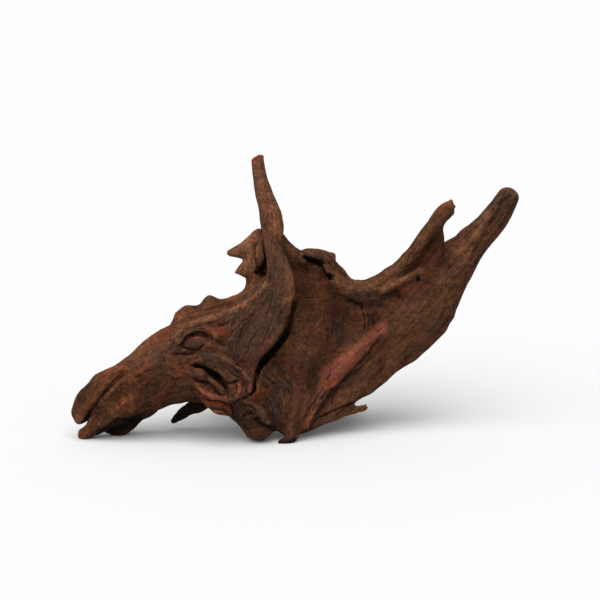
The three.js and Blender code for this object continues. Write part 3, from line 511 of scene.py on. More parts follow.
def drawn(sketch, normals, weights):
    """Height of the worked lines, lumps and pits on each point, and the painted shade in their grooves and
    pits.
    """
    flat = warped(sketch)
    faces_viewer = smoothstep(0.02, 0.35, normals[:, 2])
    height = np.zeros(len(sketch))
    groove_shade = np.zeros(len(sketch))
    for sign, lines in ((-1, GROOVES), (1, RIDGES)):
        for names, wide, size, line in lines:
            near = near_line(flat, line, 4 * wide)
            if not len(near):
                continue
            away, place = from_line(flat[near], line)
            taper = np.clip(np.minimum(place, 1 - place) * 6 + 0.2, 0, 1)
            varied = 0.75 + 0.5 * noise(sketch[near], 5, seed=41)
            on = faces_viewer[near] * on_guides(names, weights[:, near]) * taper * varied
            profile = np.exp(-((away / wide) ** 2))
            height[near] += sign * size * on * profile
            # Grooves carry painted shade in their depths
            if sign < 0:
                painted_shade = on * np.exp(-((away / (0.8 * wide)) ** 2)) * min(1, 0.25 + 0.5 * size)
                groove_shade[near] = np.maximum(groove_shade[near], painted_shade)
                height[near] += LIP * size * on * np.exp(-((away / wide - LIP_OUT) ** 2))
    for names, x, y, wide, tall, turn, size in LUMPS:
        near = near_line(flat, [(x, y)], 3 * max(wide, tall))
        c, s = math.cos(math.radians(turn)), math.sin(math.radians(turn))
        dx, dy = flat[near, 0] - x, flat[near, 1] - y
        out = ((c * dx + s * dy) / wide) ** 2 + ((c * dy - s * dx) / tall) ** 2
        on = faces_viewer[near] * on_guides(names, weights[:, near])
        height[near] += size * on * np.exp(-out ** 1.4)
        if size < 0:
            groove_shade[near] = np.maximum(groove_shade[near], min(1, -0.7 * size) * on * np.exp(-out ** 1.4))
    return height, groove_shade


# Where the fibres grew round each other and folded: x, y, half width, half height
BURL = (-52, 46, 27, 27)
KNOB = (-27, 14, 12, 15)


def within(sketch, spot):
    """1 within a round spot, 0 well outside it."""
    x, y, wide, tall = spot
    out = ((sketch[:, 0] - x) / wide) ** 2 + ((sketch[:, 1] - y) / tall) ** 2
    return np.exp(-out ** 2)


def grown(sketch, normals, places, weights):
    """Height of lumps, wrinkles, fibres and drying cracks on every side, and the painted shade in the
    cracks, pits and creases.
    """
    lumps = 0.5 * layered(sketch, 14, seed=3, layers=2) + 0.42 * layered(sketch, 4.8, seed=7, layers=4)

    def fibre(place, n):
        coarse = noise(place, (34, 3.6, 3.6), seed=50 + n)
        return 0.08 * coarse + 0.06 * noise(place, (20, 1.9, 1.9), seed=80 + n)

    def crack(place, n):
        line = 1 - np.abs(noise(place, (40, 6.5, 6.5), seed=110 + n)) * 14
        here = smoothstep(0.56, 0.78, noise(place, (24, 9, 9), seed=140 + n))
        return np.clip(line, 0, 1) * here

    fibres = grain_sum(places, weights, fibre)
    cracks = smoothstep(0.25, 0.9, grain_sum(places, weights, crack))
    pits = smoothstep(0.78, 0.92, noise(sketch, (3.1, 3.1, 3.1), seed=170))
    rough = sum(weights[n] * ROUGHNESS.get(name, 1) for n, name in enumerate(GUIDE_NAMES))

    shaken = sketch + 3.2 * np.column_stack([noise(sketch, 11, seed=200 + axis) for axis in range(3)])
    crease = 1 - np.abs(noise(shaken, (13, 9, 11), seed=210)) * 3
    burl = within(sketch, BURL) * smoothstep(0.0, 0.4, normals[:, 2])
    knob = within(sketch, KNOB) * smoothstep(-0.2, 0.3, normals[:, 2])
    folded = np.maximum(burl, knob) * weights[GUIDE_NAMES.index("snout")]
    creases = folded * smoothstep(0.1, 1.0, crease)

    height = rough * (lumps + fibres) + 0.4 * folded * layered(shaken, 7, seed=220)
    height -= 0.5 * rough * cracks + 0.35 * pits + 0.3 * creases
    return height, np.maximum.reduce((0.5 * rough * cracks, 0.35 * pits, 0.08 * creases))


def broken_ends(sketch, weights):
    """How far each point moves, in the sketch, where an end is broken off."""
    move = np.zeros_like(sketch)
    for name, place, facing, uneven in BREAKS:
        facing = np.array(facing) / np.linalg.norm(facing)
        beyond = (sketch - np.array(place)) @ facing
        beyond += uneven * (layered(sketch, 2.6, seed=230, layers=2) - 0.2)
        near = np.linalg.norm(sketch - np.array(place), axis=1) < BREAK_REACH
        cut = np.where(near & (weights[GUIDE_NAMES.index(name)] > 0.4), np.maximum(beyond, 0), 0)
        move -= cut[:, None] * facing
    return move


# Mesh work

def read_points(mesh):
    points = np.empty(len(mesh.vertices) * 3)
    mesh.vertices.foreach_get("co", points)
    return points.reshape(-1, 3)


def write_points(mesh, points):
    mesh.vertices.foreach_set("co", points.ravel())
    mesh.update()


def read_edges(mesh):
    edges = np.empty(len(mesh.edges) * 2, np.int32)
    mesh.edges.foreach_get("vertices", edges)
    return edges.reshape(-1, 2)


def gather(values, edges, count):
    """Mean of each point's neighbours."""
    a, b = edges.T
    number = np.bincount(a, minlength=count) + np.bincount(b, minlength=count)
    total = np.column_stack([
        np.bincount(a, values[b, axis], count) + np.bincount(b, values[a, axis], count)
        for axis in range(values.shape[1])
    ])
    return total / np.maximum(number, 1)[:, None]


def smooth_away(points, edges, rounds):
    """Takes small facets away without shrinking the whole."""
    for _ in range(rounds):
        for pull in (0.55, -0.57):  # in, and then out again
            points = points + pull * (gather(points, edges, len(points)) - points)
    return points


def normals_of(mesh):
    normals = np.empty(len(mesh.vertices) * 3)
    mesh.vertex_normals.foreach_get("vector", normals)
    return normals.reshape(-1, 3)


def apply_modifier(piece, kind, **settings):
    modifier = piece.modifiers.new(kind.lower(), kind)
    for name, value in settings.items():
        setattr(modifier, name, value)
    bpy.context.view_layer.objects.active = piece
    bpy.ops.object.modifier_apply(modifier=modifier.name)


def store(mesh, name, values):
    """Keeps values on the points: one number for each, or three."""
    kind, field = ("FLOAT_VECTOR", "vector") if values.ndim == 2 else ("FLOAT", "value")
    attribute = mesh.attributes.new(name, kind, "POINT")
    attribute.data.foreach_set(field, values.astype(np.float32).ravel())


def inside_box(points):
    """Keeps points, in millimetres, within the solid's box, and lets them reach the floor."""
    low = np.array(cad_low) / MM + np.array([KEEP_INSIDE, KEEP_INSIDE, 0])
    high = np.array(cad_high) / MM - KEEP_INSIDE
    return np.clip(points, low, high)


def curved(points, normals, edges, rounds):
    """How far each point lies under the smoothed surface round it: over 0 in hollows."""
    smoothed = points
    for _ in range(rounds):
        smoothed = smoothed + 0.7 * (gather(smoothed, edges, len(points)) - smoothed)
    return ((smoothed - points) * normals).sum(1)


# Stains of each kind, and painted shade: (strength, half width, guides, points), a soft band along a drawn
# line or round a spot
STAINS = {
    "rust": [
        (0.9, 4.4, "snout horn", [(-60, 77.4), (-55, 77.4), (-49, 76)]),
        (1.0, 2.4, "snout", [(-58, 27), (-52, 27.6), (-47, 25.6), (-44, 22.6)]),
        (0.7, 1.8, "snout", [(-143, 24), (-138, 32), (-134, 37)]),
        (0.6, 2.4, "snout", [(-152, 12), (-149, 6), (-150, 2)]),
        (0.9, 1.4, "snout", [(-119, 28), (-121, 25)]),
        (0.5, 5, "snout", [(-106, 67), (-98, 71), (-88, 78)]),
        (0.45, 6, "snout", [(-106, 45), (-102, 52)]),
        (0.45, 5, "snout", [(-129, 44), (-120, 50)]),
        (0.3, 8, "snout", [(-116, 34), (-112, 26)]),
        (0.8, 3, "snout", [(-79, 48)]),
        (0.4, 2, "snout", [(-85, 50), (-76, 53.4), (-66, 57)]),
        (0.5, 1.4, "snout", [(-75, 70.4), (-70, 72.8), (-65, 73.6)]),
        (0.5, 2.4, "snout", [(-50, 37), (-52, 41)]),
        (1.0, 2.6, "snout bowl", [(-27.6, 34), (-25, 36), (-23, 37)]),
        (0.5, 5, "fin snout", [(-80, 87), (-72, 88)]),
        (0.3, 6, "fin", [(-54, 94), (-42, 98)]),
        (0.4, 3.4, "horn", [(-22, 172), (-20, 160)]),
        (2.0, 1.7, "horn", [(-31, 196), (-27.6, 198.8), (-23.4, 200)]),
        (0.3, 5, "horn", [(-15, 150), (-12, 140)]),
        (0.6, 2.4, "bowl", [(19, 110), (19, 98)]),
        (0.12, 8, "bowl horn rim", [(5, 114), (7, 100)]),
        (0.45, 7, "bowl limb", [(30, 92), (40, 86), (44, 80)]),
        (1.6, 1.9, "strip bowl limb", [(22, 37.4), (26, 39.8), (29.6, 41.4)]),
        (0.5, 5, "rim limb", [(66, 108), (76, 106), (88, 108)]),
        (0.45, 9, "limb rim", [(88, 124), (96, 136)]),
        (0.6, 2.2, "rim", [(100, 160), (108, 167), (112, 165)]),
        (0.4, 2.2, "strip bowl", [(7, 11), (11, 18)]),
    ],
    "pink": [
        (0.85, 7.2, "strip bowl limb", [(26, 47), (34, 54), (41, 60)]),
        (0.75, 5.0, "strip bowl limb", [(44, 64), (54, 71.6), (61, 78)]),
        (0.3, 4.0, "strip bowl", [(19, 37), (23, 44)]),
        (0.25, 2.2, "strip bowl", [(8, 12), (13, 22), (18, 34)]),
        (0.6, 2.2, "snout", [(-38.4, 41), (-37.6, 37), (-39, 33.6)]),
        (0.6, 1.8, "snout", [(-32, 40), (-31.6, 36)]),
        (0.8, 2.4, "snout", [(-65, 36.4), (-60, 34), (-54, 31.8), (-48, 30.4)]),
        (0.35, 2.4, "rim limb", [(66, 107.4), (78, 113), (88, 119)]),
        (0.35, 4, "bowl", [(0, 36), (4, 46)]),
    ],
    "ochre": [
        (0.9, 3.2, "snout", [(-103, 46), (-94, 47), (-84, 47)]),
        (0.45, 8, "snout", [(-150, 34), (-142, 40)]),
        (0.85, 12, "bowl", [(2, 86), (4, 72), (8, 60)]),
        (0.6, 6, "bowl", [(-3, 124), (-2, 134)]),
        (0.9, 2.4, "horn fin", [(-24, 154), (-22.5, 142)]),
        (0.5, 7, "rim limb", [(70, 103), (84, 104)]),
        (0.4, 13, "limb", [(66, 62), (84, 80), (98, 98)]),
        (0.6, 6, "rim", [(22, 130), (28, 122)]),
        (0.5, 7, "limb", [(150, 170), (136, 152)]),
        (0.5, 10, "rim limb", [(96, 150), (100, 158)]),
    ],
    "grey": [
        (0.75, 16, "horn", [(-34, 68), (-26, 82), (-18, 92)]),
        (0.7, 9, "horn", [(-13, 104), (-11, 118), (-13, 132)]),
        (0.4, 6, "horn", [(-15, 142), (-18, 158), (-24, 186)]),
        (0.7, 2.4, "snout", [(-76, 72), (-70, 76.6), (-62, 76.4)]),
        (0.6, 4, "snout", [(-73, 68.6), (-66, 70)]),
        (0.9, 3.6, "snout", [(-65, 48.5)]),
        (0.6, 2.4, "snout", [(-58, 43.6), (-53, 40)]),
        (0.5, 4, "snout", [(-95, 61), (-86, 64)]),
        (0.5, 6, "snout", [(-60, 58), (-50, 54), (-42, 50)]),
        (0.6, 8, "snout", [(-36, 22), (-26, 21)]),
        (1.1, 4.4, "bowl snout", [(-11, 38), (-7, 37)]),
        (1.1, 4, "bowl snout", [(-13, 33), (-12, 26), (-11, 18)]),
        (0.9, 5, "rim limb bowl", [(42, 101), (52, 102.6), (64, 103)]),
        (0.6, 4, "limb rim bowl", [(50, 97), (60, 97)]),
        (0.8, 4, "bowl rim", [(8, 130), (16, 129.6)]),
        (0.9, 1.8, "strip bowl limb", [(18, 28), (22, 34)]),
        (0.5, 5, "limb", [(106, 88), (98, 78)]),
        (0.5, 5, "limb", [(150, 173), (144, 166)]),
    ],
    # Painted shade, near black: in the eye slit, the gap beside the horn, grooves and steps, under the chin
    # and snout, on the twig behind, near the floor, and broad darkening over the bowl
    "painted_shade": [
        (0.35, 4.2, "strip bowl limb", [(22, 49), (25, 54)]),
        (2.4, 5.6, "snout", [(-133, 4), (-125, 8), (-117, 10.6), (-110, 13)]),
        (0.45, 6, "snout", [(-104, 24), (-88, 28), (-70, 27)]),
        (0.35, 8, "snout", [(-98, 37), (-84, 37)]),
        (1.8, 10, "twig", [(-86, 13), (-68, 22), (-58, 26)]),
        (0.35, 7, "bowl", [(-6, 6), (0, 9)]),
        (0.55, 11, "snout bowl", [(-38, 22), (-30, 16), (-24, 10)]),
        (1.3, 1.9, "snout bowl", [(-28, 16.6), (-23, 12.6), (-18.6, 10.4), (-14.6, 9.4)]),
        (3.0, 1.2, "bowl horn snout cross root rib", [(0.6, 97), (-1.2, 90), (-3.8, 82.6), (-6, 76.6)]),
        (3.0, 1.8, "bowl horn snout cross root rib", [
            (-6, 76.6), (-10, 70), (-15, 64.6), (-20.6, 59.4), (-25, 53.6)]),
        (0.6, 2, "snout", [(-84, 60.6), (-74, 62), (-68, 66)]),
        (1.2, 3.0, "snout", [(-60, 49), (-54, 46.6), (-49, 43)]),
        (0.35, 4.0, "snout", [(-66, 47), (-58, 43), (-51, 38)]),
        (0.3, 6.0, "snout", [(-62, 57), (-52, 55), (-42, 50)]),
        (0.45, 3.0, "snout", [(-77, 68), (-70, 70), (-64, 70)]),
        (0.5, 2.0, "snout", [(-50, 42), (-42, 42.4)]),
        (0.55, 2.2, "snout", [(-61, 46), (-55, 41), (-49.6, 35.6)]),
        (0.5, 4.2, "snout horn", [(-42, 58), (-35, 57)]),
        (0.45, 1.5, "snout fin horn", [(-80, 76.2), (-73, 80), (-63, 81.6), (-54, 82.6), (-46, 84.6)]),
        (0.8, 2.4, "snout", [(-42, 27), (-41, 20)]),
        (0.5, 2.4, "bowl rim", [(17.6, 123.6), (21, 119), (25, 114.6)]),
        (0.44, 11, "bowl", [(6, 118), (10, 108)]),
        (0.78, 17, "bowl", [(4, 96), (10, 76), (10, 58)]),
        (0.84, 12, "bowl limb", [(28, 92), (38, 80)]),
        (0.6, 4, "bowl limb rim", [(38, 97), (46, 94)]),
        (0.4, 2.4, "bowl limb rim", [(50, 87), (55, 85)]),
        (0.65, 9, "limb rim", [(84, 121), (94, 133), (101, 147)]),
        (0.3, 3, "limb", [(72, 52), (92, 66), (106, 80), (116, 98)]),
        (0.4, 1.4, "limb strip", [(16, 14), (28, 33), (40, 46), (54, 61)]),
        (0.5, 1.6, "snout bowl", [(-15, 42), (-15, 32)]),
        (1.9, 3.0, "bowl snout toe back foot", [(-12, -1), (-6, -0.6), (-1, 0)]),
        (0.55, 3, "limb", [(152, 174), (144, 164), (136, 151)]),
        (0.3, 8, "limb", [(152, 172), (144, 158)]),
        (0.5, 3.4, "fin", [(-24, 122), (-24.4, 138)]),
        (0.6, 6, "snout", [(-155, 20), (-152, 30), (-145, 38)]),
    ],
    # Paler tan of the wood, and on ridge tops also painted highlight
    "pale": [
        (0.35, 7, "strip limb bowl", [(86, 96), (98, 108)]),
        # Painted light on the lower wing, which lies in the shadow of the strip above it
        (0.5, 6, "limb", [(24, 24), (40, 38), (52, 50)]),
        (0.55, 4.0, "snout", [(-126, 51), (-112, 61), (-98, 71)]),
        (0.4, 3.0, "snout", [(-112, 54), (-98, 61), (-88, 68)]),
        (0.38, 5, "fin", [(-84, 84), (-70, 90), (-56, 94), (-42, 100), (-34, 108)]),
        (1.1, 1.8, "fin horn snout", [
            (-84, 74.6), (-76, 80.4), (-66, 84.4), (-55, 88.4), (-40, 93), (-28, 100), (-21, 110)]),
        (1.6, 8, "fin horn", [(-40, 121), (-33, 128), (-31, 140)]),
        (0.6, 3, "fin", [(-46, 131), (-38, 133)]),
        (0.7, 6, "horn", [(-13, 146), (-17, 158), (-21, 174), (-25.6, 194)]),
        (0.6, 2.6, "horn", [(-5, 122), (-2, 110), (-2, 100)]),
        (0.5, 4, "snout", [(-29, 51)]),
        (0.5, 1.8, "snout", [(-48, 58), (-42, 54.4), (-37, 51.6), (-34.4, 46)]),
        (0.5, 4, "rim", [(36, 110), (46, 108), (60, 111), (70, 119)]),
        (0.4, 3, "rim", [(74, 123), (86, 138), (94, 150)]),
        (1.6, 2.4, "rim limb", [(62, 105), (72, 110.6), (80, 116), (87, 119.4)]),
        (0.55, 5, "limb", [(112, 132), (124, 143), (136, 158)]),
        (0.25, 12, "limb", [(76, 84), (100, 110)]),
        (1.0, 0.8, "bowl", [(22.5, 61)]),
    ],
}

# Patches of stain on the sides that face away: (kind, strength, spacing)
BACK_STAINS = [("rust", 0.35, 16), ("grey", 0.5, 22), ("pale", 0.45, 14), ("ochre", 0.4, 20)]


def stained(sketch, normals, weights):
    """Strength of every kind of stain, and of the painted shade, on each point."""
    flat = warped(sketch) + 1.6 * np.column_stack((noise(sketch, 9, seed=61), noise(sketch, 9, seed=62)))
    faces_viewer = smoothstep(-0.05, 0.3, normals[:, 2])
    faces_down = np.maximum(faces_viewer, smoothstep(0.0, 0.4, -normals[:, 1]))
    broken = 0.72 + 0.5 * layered(sketch, 7, seed=64)
    strength = {kind: np.zeros(len(sketch)) for kind in STAINS}
    for kind, stains in STAINS.items():
        # The painted shade also lies on undersides
        seen = faces_down if kind == "painted_shade" else faces_viewer
        edge = 4 if kind == "pink" else 2
        for much, wide, names, line in stains:
            near = near_line(flat, line, 2.2 * wide)
            if not len(near):
                continue
            if len(line) > 1:
                away, _ = from_line(flat[near], line)
            else:
                away = np.linalg.norm(flat[near] - np.array(line[0]), axis=1)
            on = seen[near] * on_guides(names, weights[:, near])
            here = np.clip(much * on * broken[near] * np.exp(-((away / wide) ** edge)), 0, 1)
            strength[kind][near] = np.maximum(strength[kind][near], here)
    for n, (kind, much, size) in enumerate(BACK_STAINS):
        patch = much * smoothstep(0.1, 0.6, layered(sketch, size, seed=70 + 3 * n))
        strength[kind] = np.maximum(strength[kind], (1 - faces_viewer) * patch)
    return strength


# The root

def fine_copy(node):
    """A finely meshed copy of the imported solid, without its plain colour."""
    root = bpy.data.objects.new("driftwood_surface", node.data.copy())
    bpy.context.collection.objects.link(root)
    root.matrix_world = node.matrix_world.copy()
    bpy.context.view_layer.update()
    mesh = root.data
    mesh.transform(root.matrix_world)
    root.matrix_world.identity()
    for name in [a.name for a in mesh.color_attributes]:
        mesh.color_attributes.remove(mesh.color_attributes[name])
    mesh.materials.clear()
    grid = GRID
    apply_modifier(root, "WELD", merge_threshold=1e-6)
    apply_modifier(root, "REMESH", mode="VOXEL", voxel_size=grid * MM, adaptivity=0)
    return root


def work_surface(mesh):
    """Smooths the fine mesh, corrects its outline and works lines, lumps, cracks and broken ends into it."""
    points = read_points(mesh) / MM
    resting = points[:, 2] < RESTING
    smooth = smooth_away(points, read_edges(mesh), SMOOTHING)
    smooth += turn_to_frame(pulled(to_sketch(smooth)))
    write_points(mesh, smooth * MM)
    normals = normals_of(mesh)
    sketch = to_sketch(smooth)
    facing = turn_to_sketch(normals)
    places, weights = read_grain(sketch)
    height = drawn(sketch, facing, weights)[0] + grown(sketch, facing, places, weights)[0]
    worked = smooth + normals * height[:, None]
    worked += turn_to_frame(broken_ends(to_sketch(worked), weights))
    worked[resting, 2] = np.minimum(worked[resting, 2], points[resting, 2])
    write_points(mesh, inside_box(worked) * MM)


def keep_looks(mesh):
    """Keeps on each point what the wood's material reads: stains, painted shade, relief and its place in the
    grain.
    """
    points = read_points(mesh) / MM
    points[:, 2] = np.maximum(points[:, 2], 0)
    write_points(mesh, points * MM)
    normals = normals_of(mesh)
    edges = read_edges(mesh)
    sketch = to_sketch(points)
    facing = turn_to_sketch(normals)
    places, weights = read_grain(sketch)
    looks = stained(sketch, facing, weights)
    for name, (rounds, full) in RELIEF.items():
        looks[name] = np.clip(curved(points, normals, edges, rounds) / full, -1, 1)
    grown_shade = grown(sketch, facing, places, weights)[1]
    looks["groove_shade"] = np.maximum(drawn(sketch, facing, weights)[1], grown_shade)
    for name, kept in STORED.items():
        store(mesh, name, np.column_stack([looks[look] for look in kept]))
    first = weights.argmax(0)
    grain = np.stack(places)[first, np.arange(len(points))]
    grain[:, 0] += GRAIN_APART * first
    store(mesh, "grain", grain)
    ranked = np.sort(weights, axis=0)
    store(mesh, "grain_trust", smoothstep(0.03, 0.25, ranked[-1] - ranked[-2]))


def make_root(node):
    """The fine piece that stands for the solid."""
    root = fine_copy(node)
    mesh = root.data
    work_surface(mesh)
    share = TRIANGLES / (2 * len(mesh.polygons))
    apply_modifier(root, "DECIMATE", ratio=min(1.0, share), use_collapse_triangulate=True)
    keep_looks(mesh)
    mesh.polygons.foreach_set("use_smooth", np.ones(len(mesh.polygons), bool))
    mesh.update()
    return root


# Materials

class Nodes:
    """Builds a node tree: inputs are numbers, colours or the sockets of other nodes."""

    def __init__(self, material):
        material.use_nodes = True
        self.tree = material.node_tree
        self.tree.nodes.clear()

    def add(self, kind, inputs=(), **settings):
        made = self.tree.nodes.new(kind)
        for name, value in settings.items():
            setattr(made, name, value)
        for name, value in dict(inputs).items():
            socket = made.inputs[name]
            if isinstance(value, bpy.types.NodeSocket):
                self.tree.links.new(value, socket)
            else:
                socket.default_value = value
        return made

    def math(self, operation, a, b=0.0, clamp=False):
        return self.add("ShaderNodeMath", {0: a, 1: b}, operation=operation, use_clamp=clamp).outputs[0]

    def plus(self, a, b, clamp=False):
        return self.math("ADD", a, b, clamp)

    def minus(self, a, b):
        return self.math("SUBTRACT", a, b)

    def times(self, a, b, clamp=False):
        return self.math("MULTIPLY", a, b, clamp)

    def calmed(self, value, share, middle, new_middle):
        """Cuts value's swing about middle to a share of it, and sets it about new_middle."""
        return self.plus(self.times(self.minus(value, middle), share), new_middle)

    def spread(self, value, low, high, to_low=0.0, to_high=1.0):
        """Maps value from low..high to to_low..to_high, softly."""
        return self.add(
            "ShaderNodeMapRange",
            {"Value": value, "From Min": low, "From Max": high, "To Min": to_low, "To Max": to_high},
            interpolation_type="SMOOTHSTEP",
        ).outputs[0]

    def mix(self, share, a, b, blend="MIX"):
        return self.add(
            "ShaderNodeMix", {0: share, 6: a, 7: b}, data_type="RGBA", blend_type=blend,
        ).outputs[2]

    def scale(self, vector, factors):
        return self.add("ShaderNodeVectorMath", {0: vector, 1: factors}, operation="MULTIPLY").outputs[0]

    def shift(self, vector, step):
        return self.add("ShaderNodeVectorMath", {0: vector, 1: step}, operation="ADD").outputs[0]

    def noise(self, vector, scale, detail=3.0, rough=0.55):
        return self.add(
            "ShaderNodeTexNoise", {"Vector": vector, "Scale": scale, "Detail": detail, "Roughness": rough},
        ).outputs["Fac"]

    def attribute(self, name):
        return self.add("ShaderNodeAttribute", attribute_name=name, attribute_type="GEOMETRY")


def linear(red, green, blue):
    """A colour given as it is seen on a screen, 0 to 255, as a node colour."""
    parts = [part / 255 for part in (red, green, blue)]
    return [((p + 0.055) / 1.055) ** 2.4 if p > 10 / 255 else p / 12.92 for p in parts] + [1.0]


DEEP_BROWN = linear(56, 33, 20)
BROWN = linear(84, 52, 31)
RED_BROWN = linear(90, 45, 29)
TAN = linear(128, 85, 59)
RUST = linear(122, 54, 27)
PINK = linear(148, 78, 61)
OCHRE = linear(62, 41, 20)
GREY = linear(62, 48, 41)
# Near black of the painted shade in slits, grooves, cracks and hollows
CREVICE_SHADE = linear(12, 7, 5)


# Noises that tint the wood, one over the other: (noise, starts at, full at, share when full, colour)
TINTS = [
    ("warmth", 0.46, 0.66, 0.65, RED_BROWN),
    ("chill", 0.5, 0.68, 0.4, GREY),
    ("mottle", 0.45, 0.7, 0.4, BROWN),
    ("bands", 0.45, 0.7, 0.14, TAN),
]
STAIN_SHADES = [("ochre", OCHRE), ("grey", GREY), ("rust", RUST), ("pink", PINK), ("pale", TAN)]

# Noises that darken and brighten it: (noise, darkest at, brightest at, darkest, brightest)
STREAKS = [
    ("fibres", 0.3, 0.7, 0.8, 1.18),
    ("bands", 0.3, 0.7, 0.92, 1.06),
    ("specks", 0.32, 0.68, 0.6, 1.42),
    ("mottle", 0.3, 0.7, 0.8, 1.2),
    ("sand", 0.3, 0.7, 0.78, 1.24),
]
STREAKS_LIFT = 1.09  # what the streaks are set about, so that the wood stays as light as its colours


def wood_patterns(wood):
    """The stored values and the noises that the wood is made from, each under its name."""
    place = wood.scale(wood.add("ShaderNodeTexCoord").outputs["Object"], [1 / MM] * 3)
    grain = wood.attribute("grain").outputs["Vector"]
    trust = wood.attribute("grain_trust").outputs["Fac"]
    found = {}
    for stored, names in STORED.items():
        values = wood.add("ShaderNodeSeparateXYZ", {0: wood.attribute(stored).outputs["Vector"]})
        found.update(zip(names, values.outputs))

    # Noises over the whole root: waves to a millimetre, finer layers, and how strong those are
    found["patches"] = wood.noise(place, 0.055, 4.0)
    found["warmth"] = wood.noise(wood.shift(place, (300.0, 40.0, 90.0)), 0.07, 5.0, 0.6)
    found["chill"] = wood.noise(wood.shift(place, (-70.0, 220.0, 10.0)), 0.08, 5.0, 0.6)
    found["mottle"] = wood.noise(place, 0.22, 5.0, 0.65)
    found["specks"] = wood.noise(place, 0.55, 5.0, 0.72)
    found["sand"] = wood.noise(place, 1.7, 2.0, 0.6)

    # Noises drawn out along the grain, calmed where two guides meet
    bands = wood.noise(wood.scale(grain, (0.02, 0.32, 0.32)), 1.0, 3.0, 0.6)
    fibres = wood.noise(wood.scale(grain, (0.05, 0.85, 0.85)), 1.0, 4.0, 0.7)
    found["bands"] = wood.calmed(bands, trust, 0.5, 0.5)
    found["fibres"] = wood.calmed(fibres, trust, 0.5, 0.5)

    # Drying cracks as fine as hairs, here and there
    hairs = wood.noise(wood.scale(grain, (0.016, 0.3, 0.3)), 1.0, 2.0, 0.55)
    hairs = wood.spread(wood.math("ABSOLUTE", wood.minus(hairs, 0.5)), 0.0, 0.018, 1.0, 0.0)
    where = wood.spread(wood.noise(wood.scale(grain, (0.04, 0.16, 0.16)), 1.0, 2.0), 0.46, 0.57)
    found["hairs"] = wood.times(wood.times(hairs, where), trust)
    return found


def wood_streaks(wood, found):
    """How much darker or brighter each spot is than its colour. The pink stains are calmer."""
    streaks = 1.0
    for name, low, high, darkest, brightest in STREAKS:
        streaks = wood.times(streaks, wood.spread(found[name], low, high, darkest, brightest))
    calm = wood.spread(found["pink"], 0.15, 0.7, 1.0, 0.5)
    streaks = wood.calmed(streaks, calm, 1.0, STREAKS_LIFT)
    return wood.add("ShaderNodeCombineColor", {0: streaks, 1: streaks, 2: streaks}).outputs[0]


def wood_colour(wood, found):
    """Brown patches, pale crests, stains, streaks, and painted shade in slits, hollows, grooves and hair
    cracks, each laid over the last.
    """
    colour = wood.mix(wood.spread(found["patches"], 0.35, 0.65), DEEP_BROWN, BROWN)
    for name, low, high, most, shade in TINTS:
        colour = wood.mix(wood.spread(found[name], low, high, 0.0, most), colour, shade)
    # Convex crests lighten towards tan: worn edges, and painted highlight on the tops
    fine_crest = wood.spread(found["fine"], -0.1, -0.9, 0.0, 0.35)
    broad_crest = wood.spread(found["broad"], -0.1, -0.9, 0.0, 0.25)
    colour = wood.mix(wood.plus(fine_crest, broad_crest), colour, TAN)
    for kind, shade in STAIN_SHADES:
        share = wood.times(found[kind], wood.spread(found["mottle"], 0.25, 0.6, 0.55, 1.0), clamp=True)
        colour = wood.mix(share, colour, shade)
    # Painted shade in slits, gaps and undersides, towards near black
    colour = wood.mix(wood.times(found["painted_shade"], 0.95), colour, wood.mix(0.85, DEEP_BROWN, CREVICE_SHADE))
    colour = wood.mix(1.0, colour, wood_streaks(wood, found), "MULTIPLY")
    # Painted shade in hollows, groove depths and hair cracks
    fine_hollow_shade = wood.spread(found["fine"], 0.1, 1.0)
    broad_hollow_shade = wood.spread(found["broad"], 0.15, 1.0, 0.0, 0.5)
    hollow_shade = wood.plus(fine_hollow_shade, broad_hollow_shade, clamp=True)
    for painted_shade, most in ((hollow_shade, 0.65), (found["groove_shade"], 0.85), (found["hairs"], 0.85)):
        colour = wood.mix(wood.times(painted_shade, most), colour, CREVICE_SHADE)
    return colour


def wood_bump(wood, found):
    """Fibres, specks and hair cracks that are too fine for the mesh."""
    rise = wood.plus(wood.times(found["fibres"], 0.55), wood.times(found["specks"], 0.35))
    rise = wood.plus(rise, wood.times(found["mottle"], 1.2))
    rise = wood.minus(rise, wood.times(found["hairs"], 0.3))
    return wood.add("ShaderNodeBump", {"Height": rise, "Strength": 0.9, "Distance": 0.0012}).outputs[0]


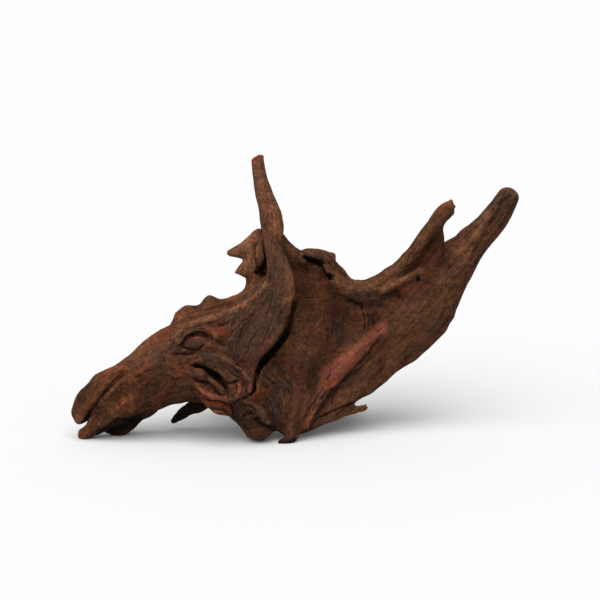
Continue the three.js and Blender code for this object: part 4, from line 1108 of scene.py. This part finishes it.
def make_wood():
    material = bpy.data.materials.new("weathered_wood")
    wood = Nodes(material)
    found = wood_patterns(wood)
    shader = wood.add("ShaderNodeBsdfPrincipled", {
        "Base Color": wood_colour(wood, found),
        "Roughness": wood.spread(found["specks"], 0.3, 0.7, 0.75, 0.92),
        "Normal": wood_bump(wood, found),
        "Specular IOR Level": 0.12,
    }).outputs[0]
    wood.add("ShaderNodeOutputMaterial", {"Surface": shader})
    return material


# Floor, light and camera

def make_floor():
    bpy.ops.mesh.primitive_plane_add(size=FLOOR_SIZE)
    floor = bpy.context.object
    floor.name = "floor"
    material = bpy.data.materials.new("pale_floor")
    pale = Nodes(material)
    seen = pale.add("ShaderNodeBsdfDiffuse", {"Color": FLOOR_SEEN}).outputs[0]
    bounce = pale.add("ShaderNodeBsdfDiffuse", {"Color": FLOOR_BOUNCE}).outputs[0]
    by_camera = pale.add("ShaderNodeLightPath").outputs["Is Camera Ray"]
    shader = pale.add("ShaderNodeMixShader", {0: by_camera, 1: bounce, 2: seen}).outputs[0]
    pale.add("ShaderNodeOutputMaterial", {"Surface": shader})
    floor.data.materials.append(material)


def make_light():
    """A broad soft light that shines from its place towards the root."""
    data = bpy.data.lights.new("soft light above", "SUN")
    data.energy = LIGHT_STRENGTH
    data.angle = LIGHT_SOFTNESS
    light = bpy.data.objects.new("soft light above", data)
    bpy.context.collection.objects.link(light)
    light.location = LIGHT_PLACE
    light.rotation_euler = Vector(LIGHT_PLACE).to_track_quat("Z", "Y").to_euler()


def make_world():
    world = bpy.data.worlds.new("studio")
    bpy.context.scene.world = world
    world.use_nodes = True
    background = world.node_tree.nodes["Background"]
    background.inputs["Color"].default_value = WHITE
    background.inputs["Strength"].default_value = WORLD_STRENGTH


def make_camera():
    data = bpy.data.cameras.new("camera")
    data.lens = LENS
    data.sensor_width = SENSOR
    data.clip_end = VIEW_END
    camera = bpy.data.objects.new("camera", data)
    bpy.context.collection.objects.link(camera)
    camera.location = CAMERA_PLACE
    camera.rotation_euler = (CAMERA_TILT, 0, 0)
    bpy.context.scene.camera = camera


root = make_root(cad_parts["driftwood_root"])
root.data.materials.append(make_wood())
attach(root, "root")
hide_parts("driftwood_root")

make_floor()
make_light()
make_world()
make_camera()
bpy.context.scene.view_settings.view_transform = "Standard"
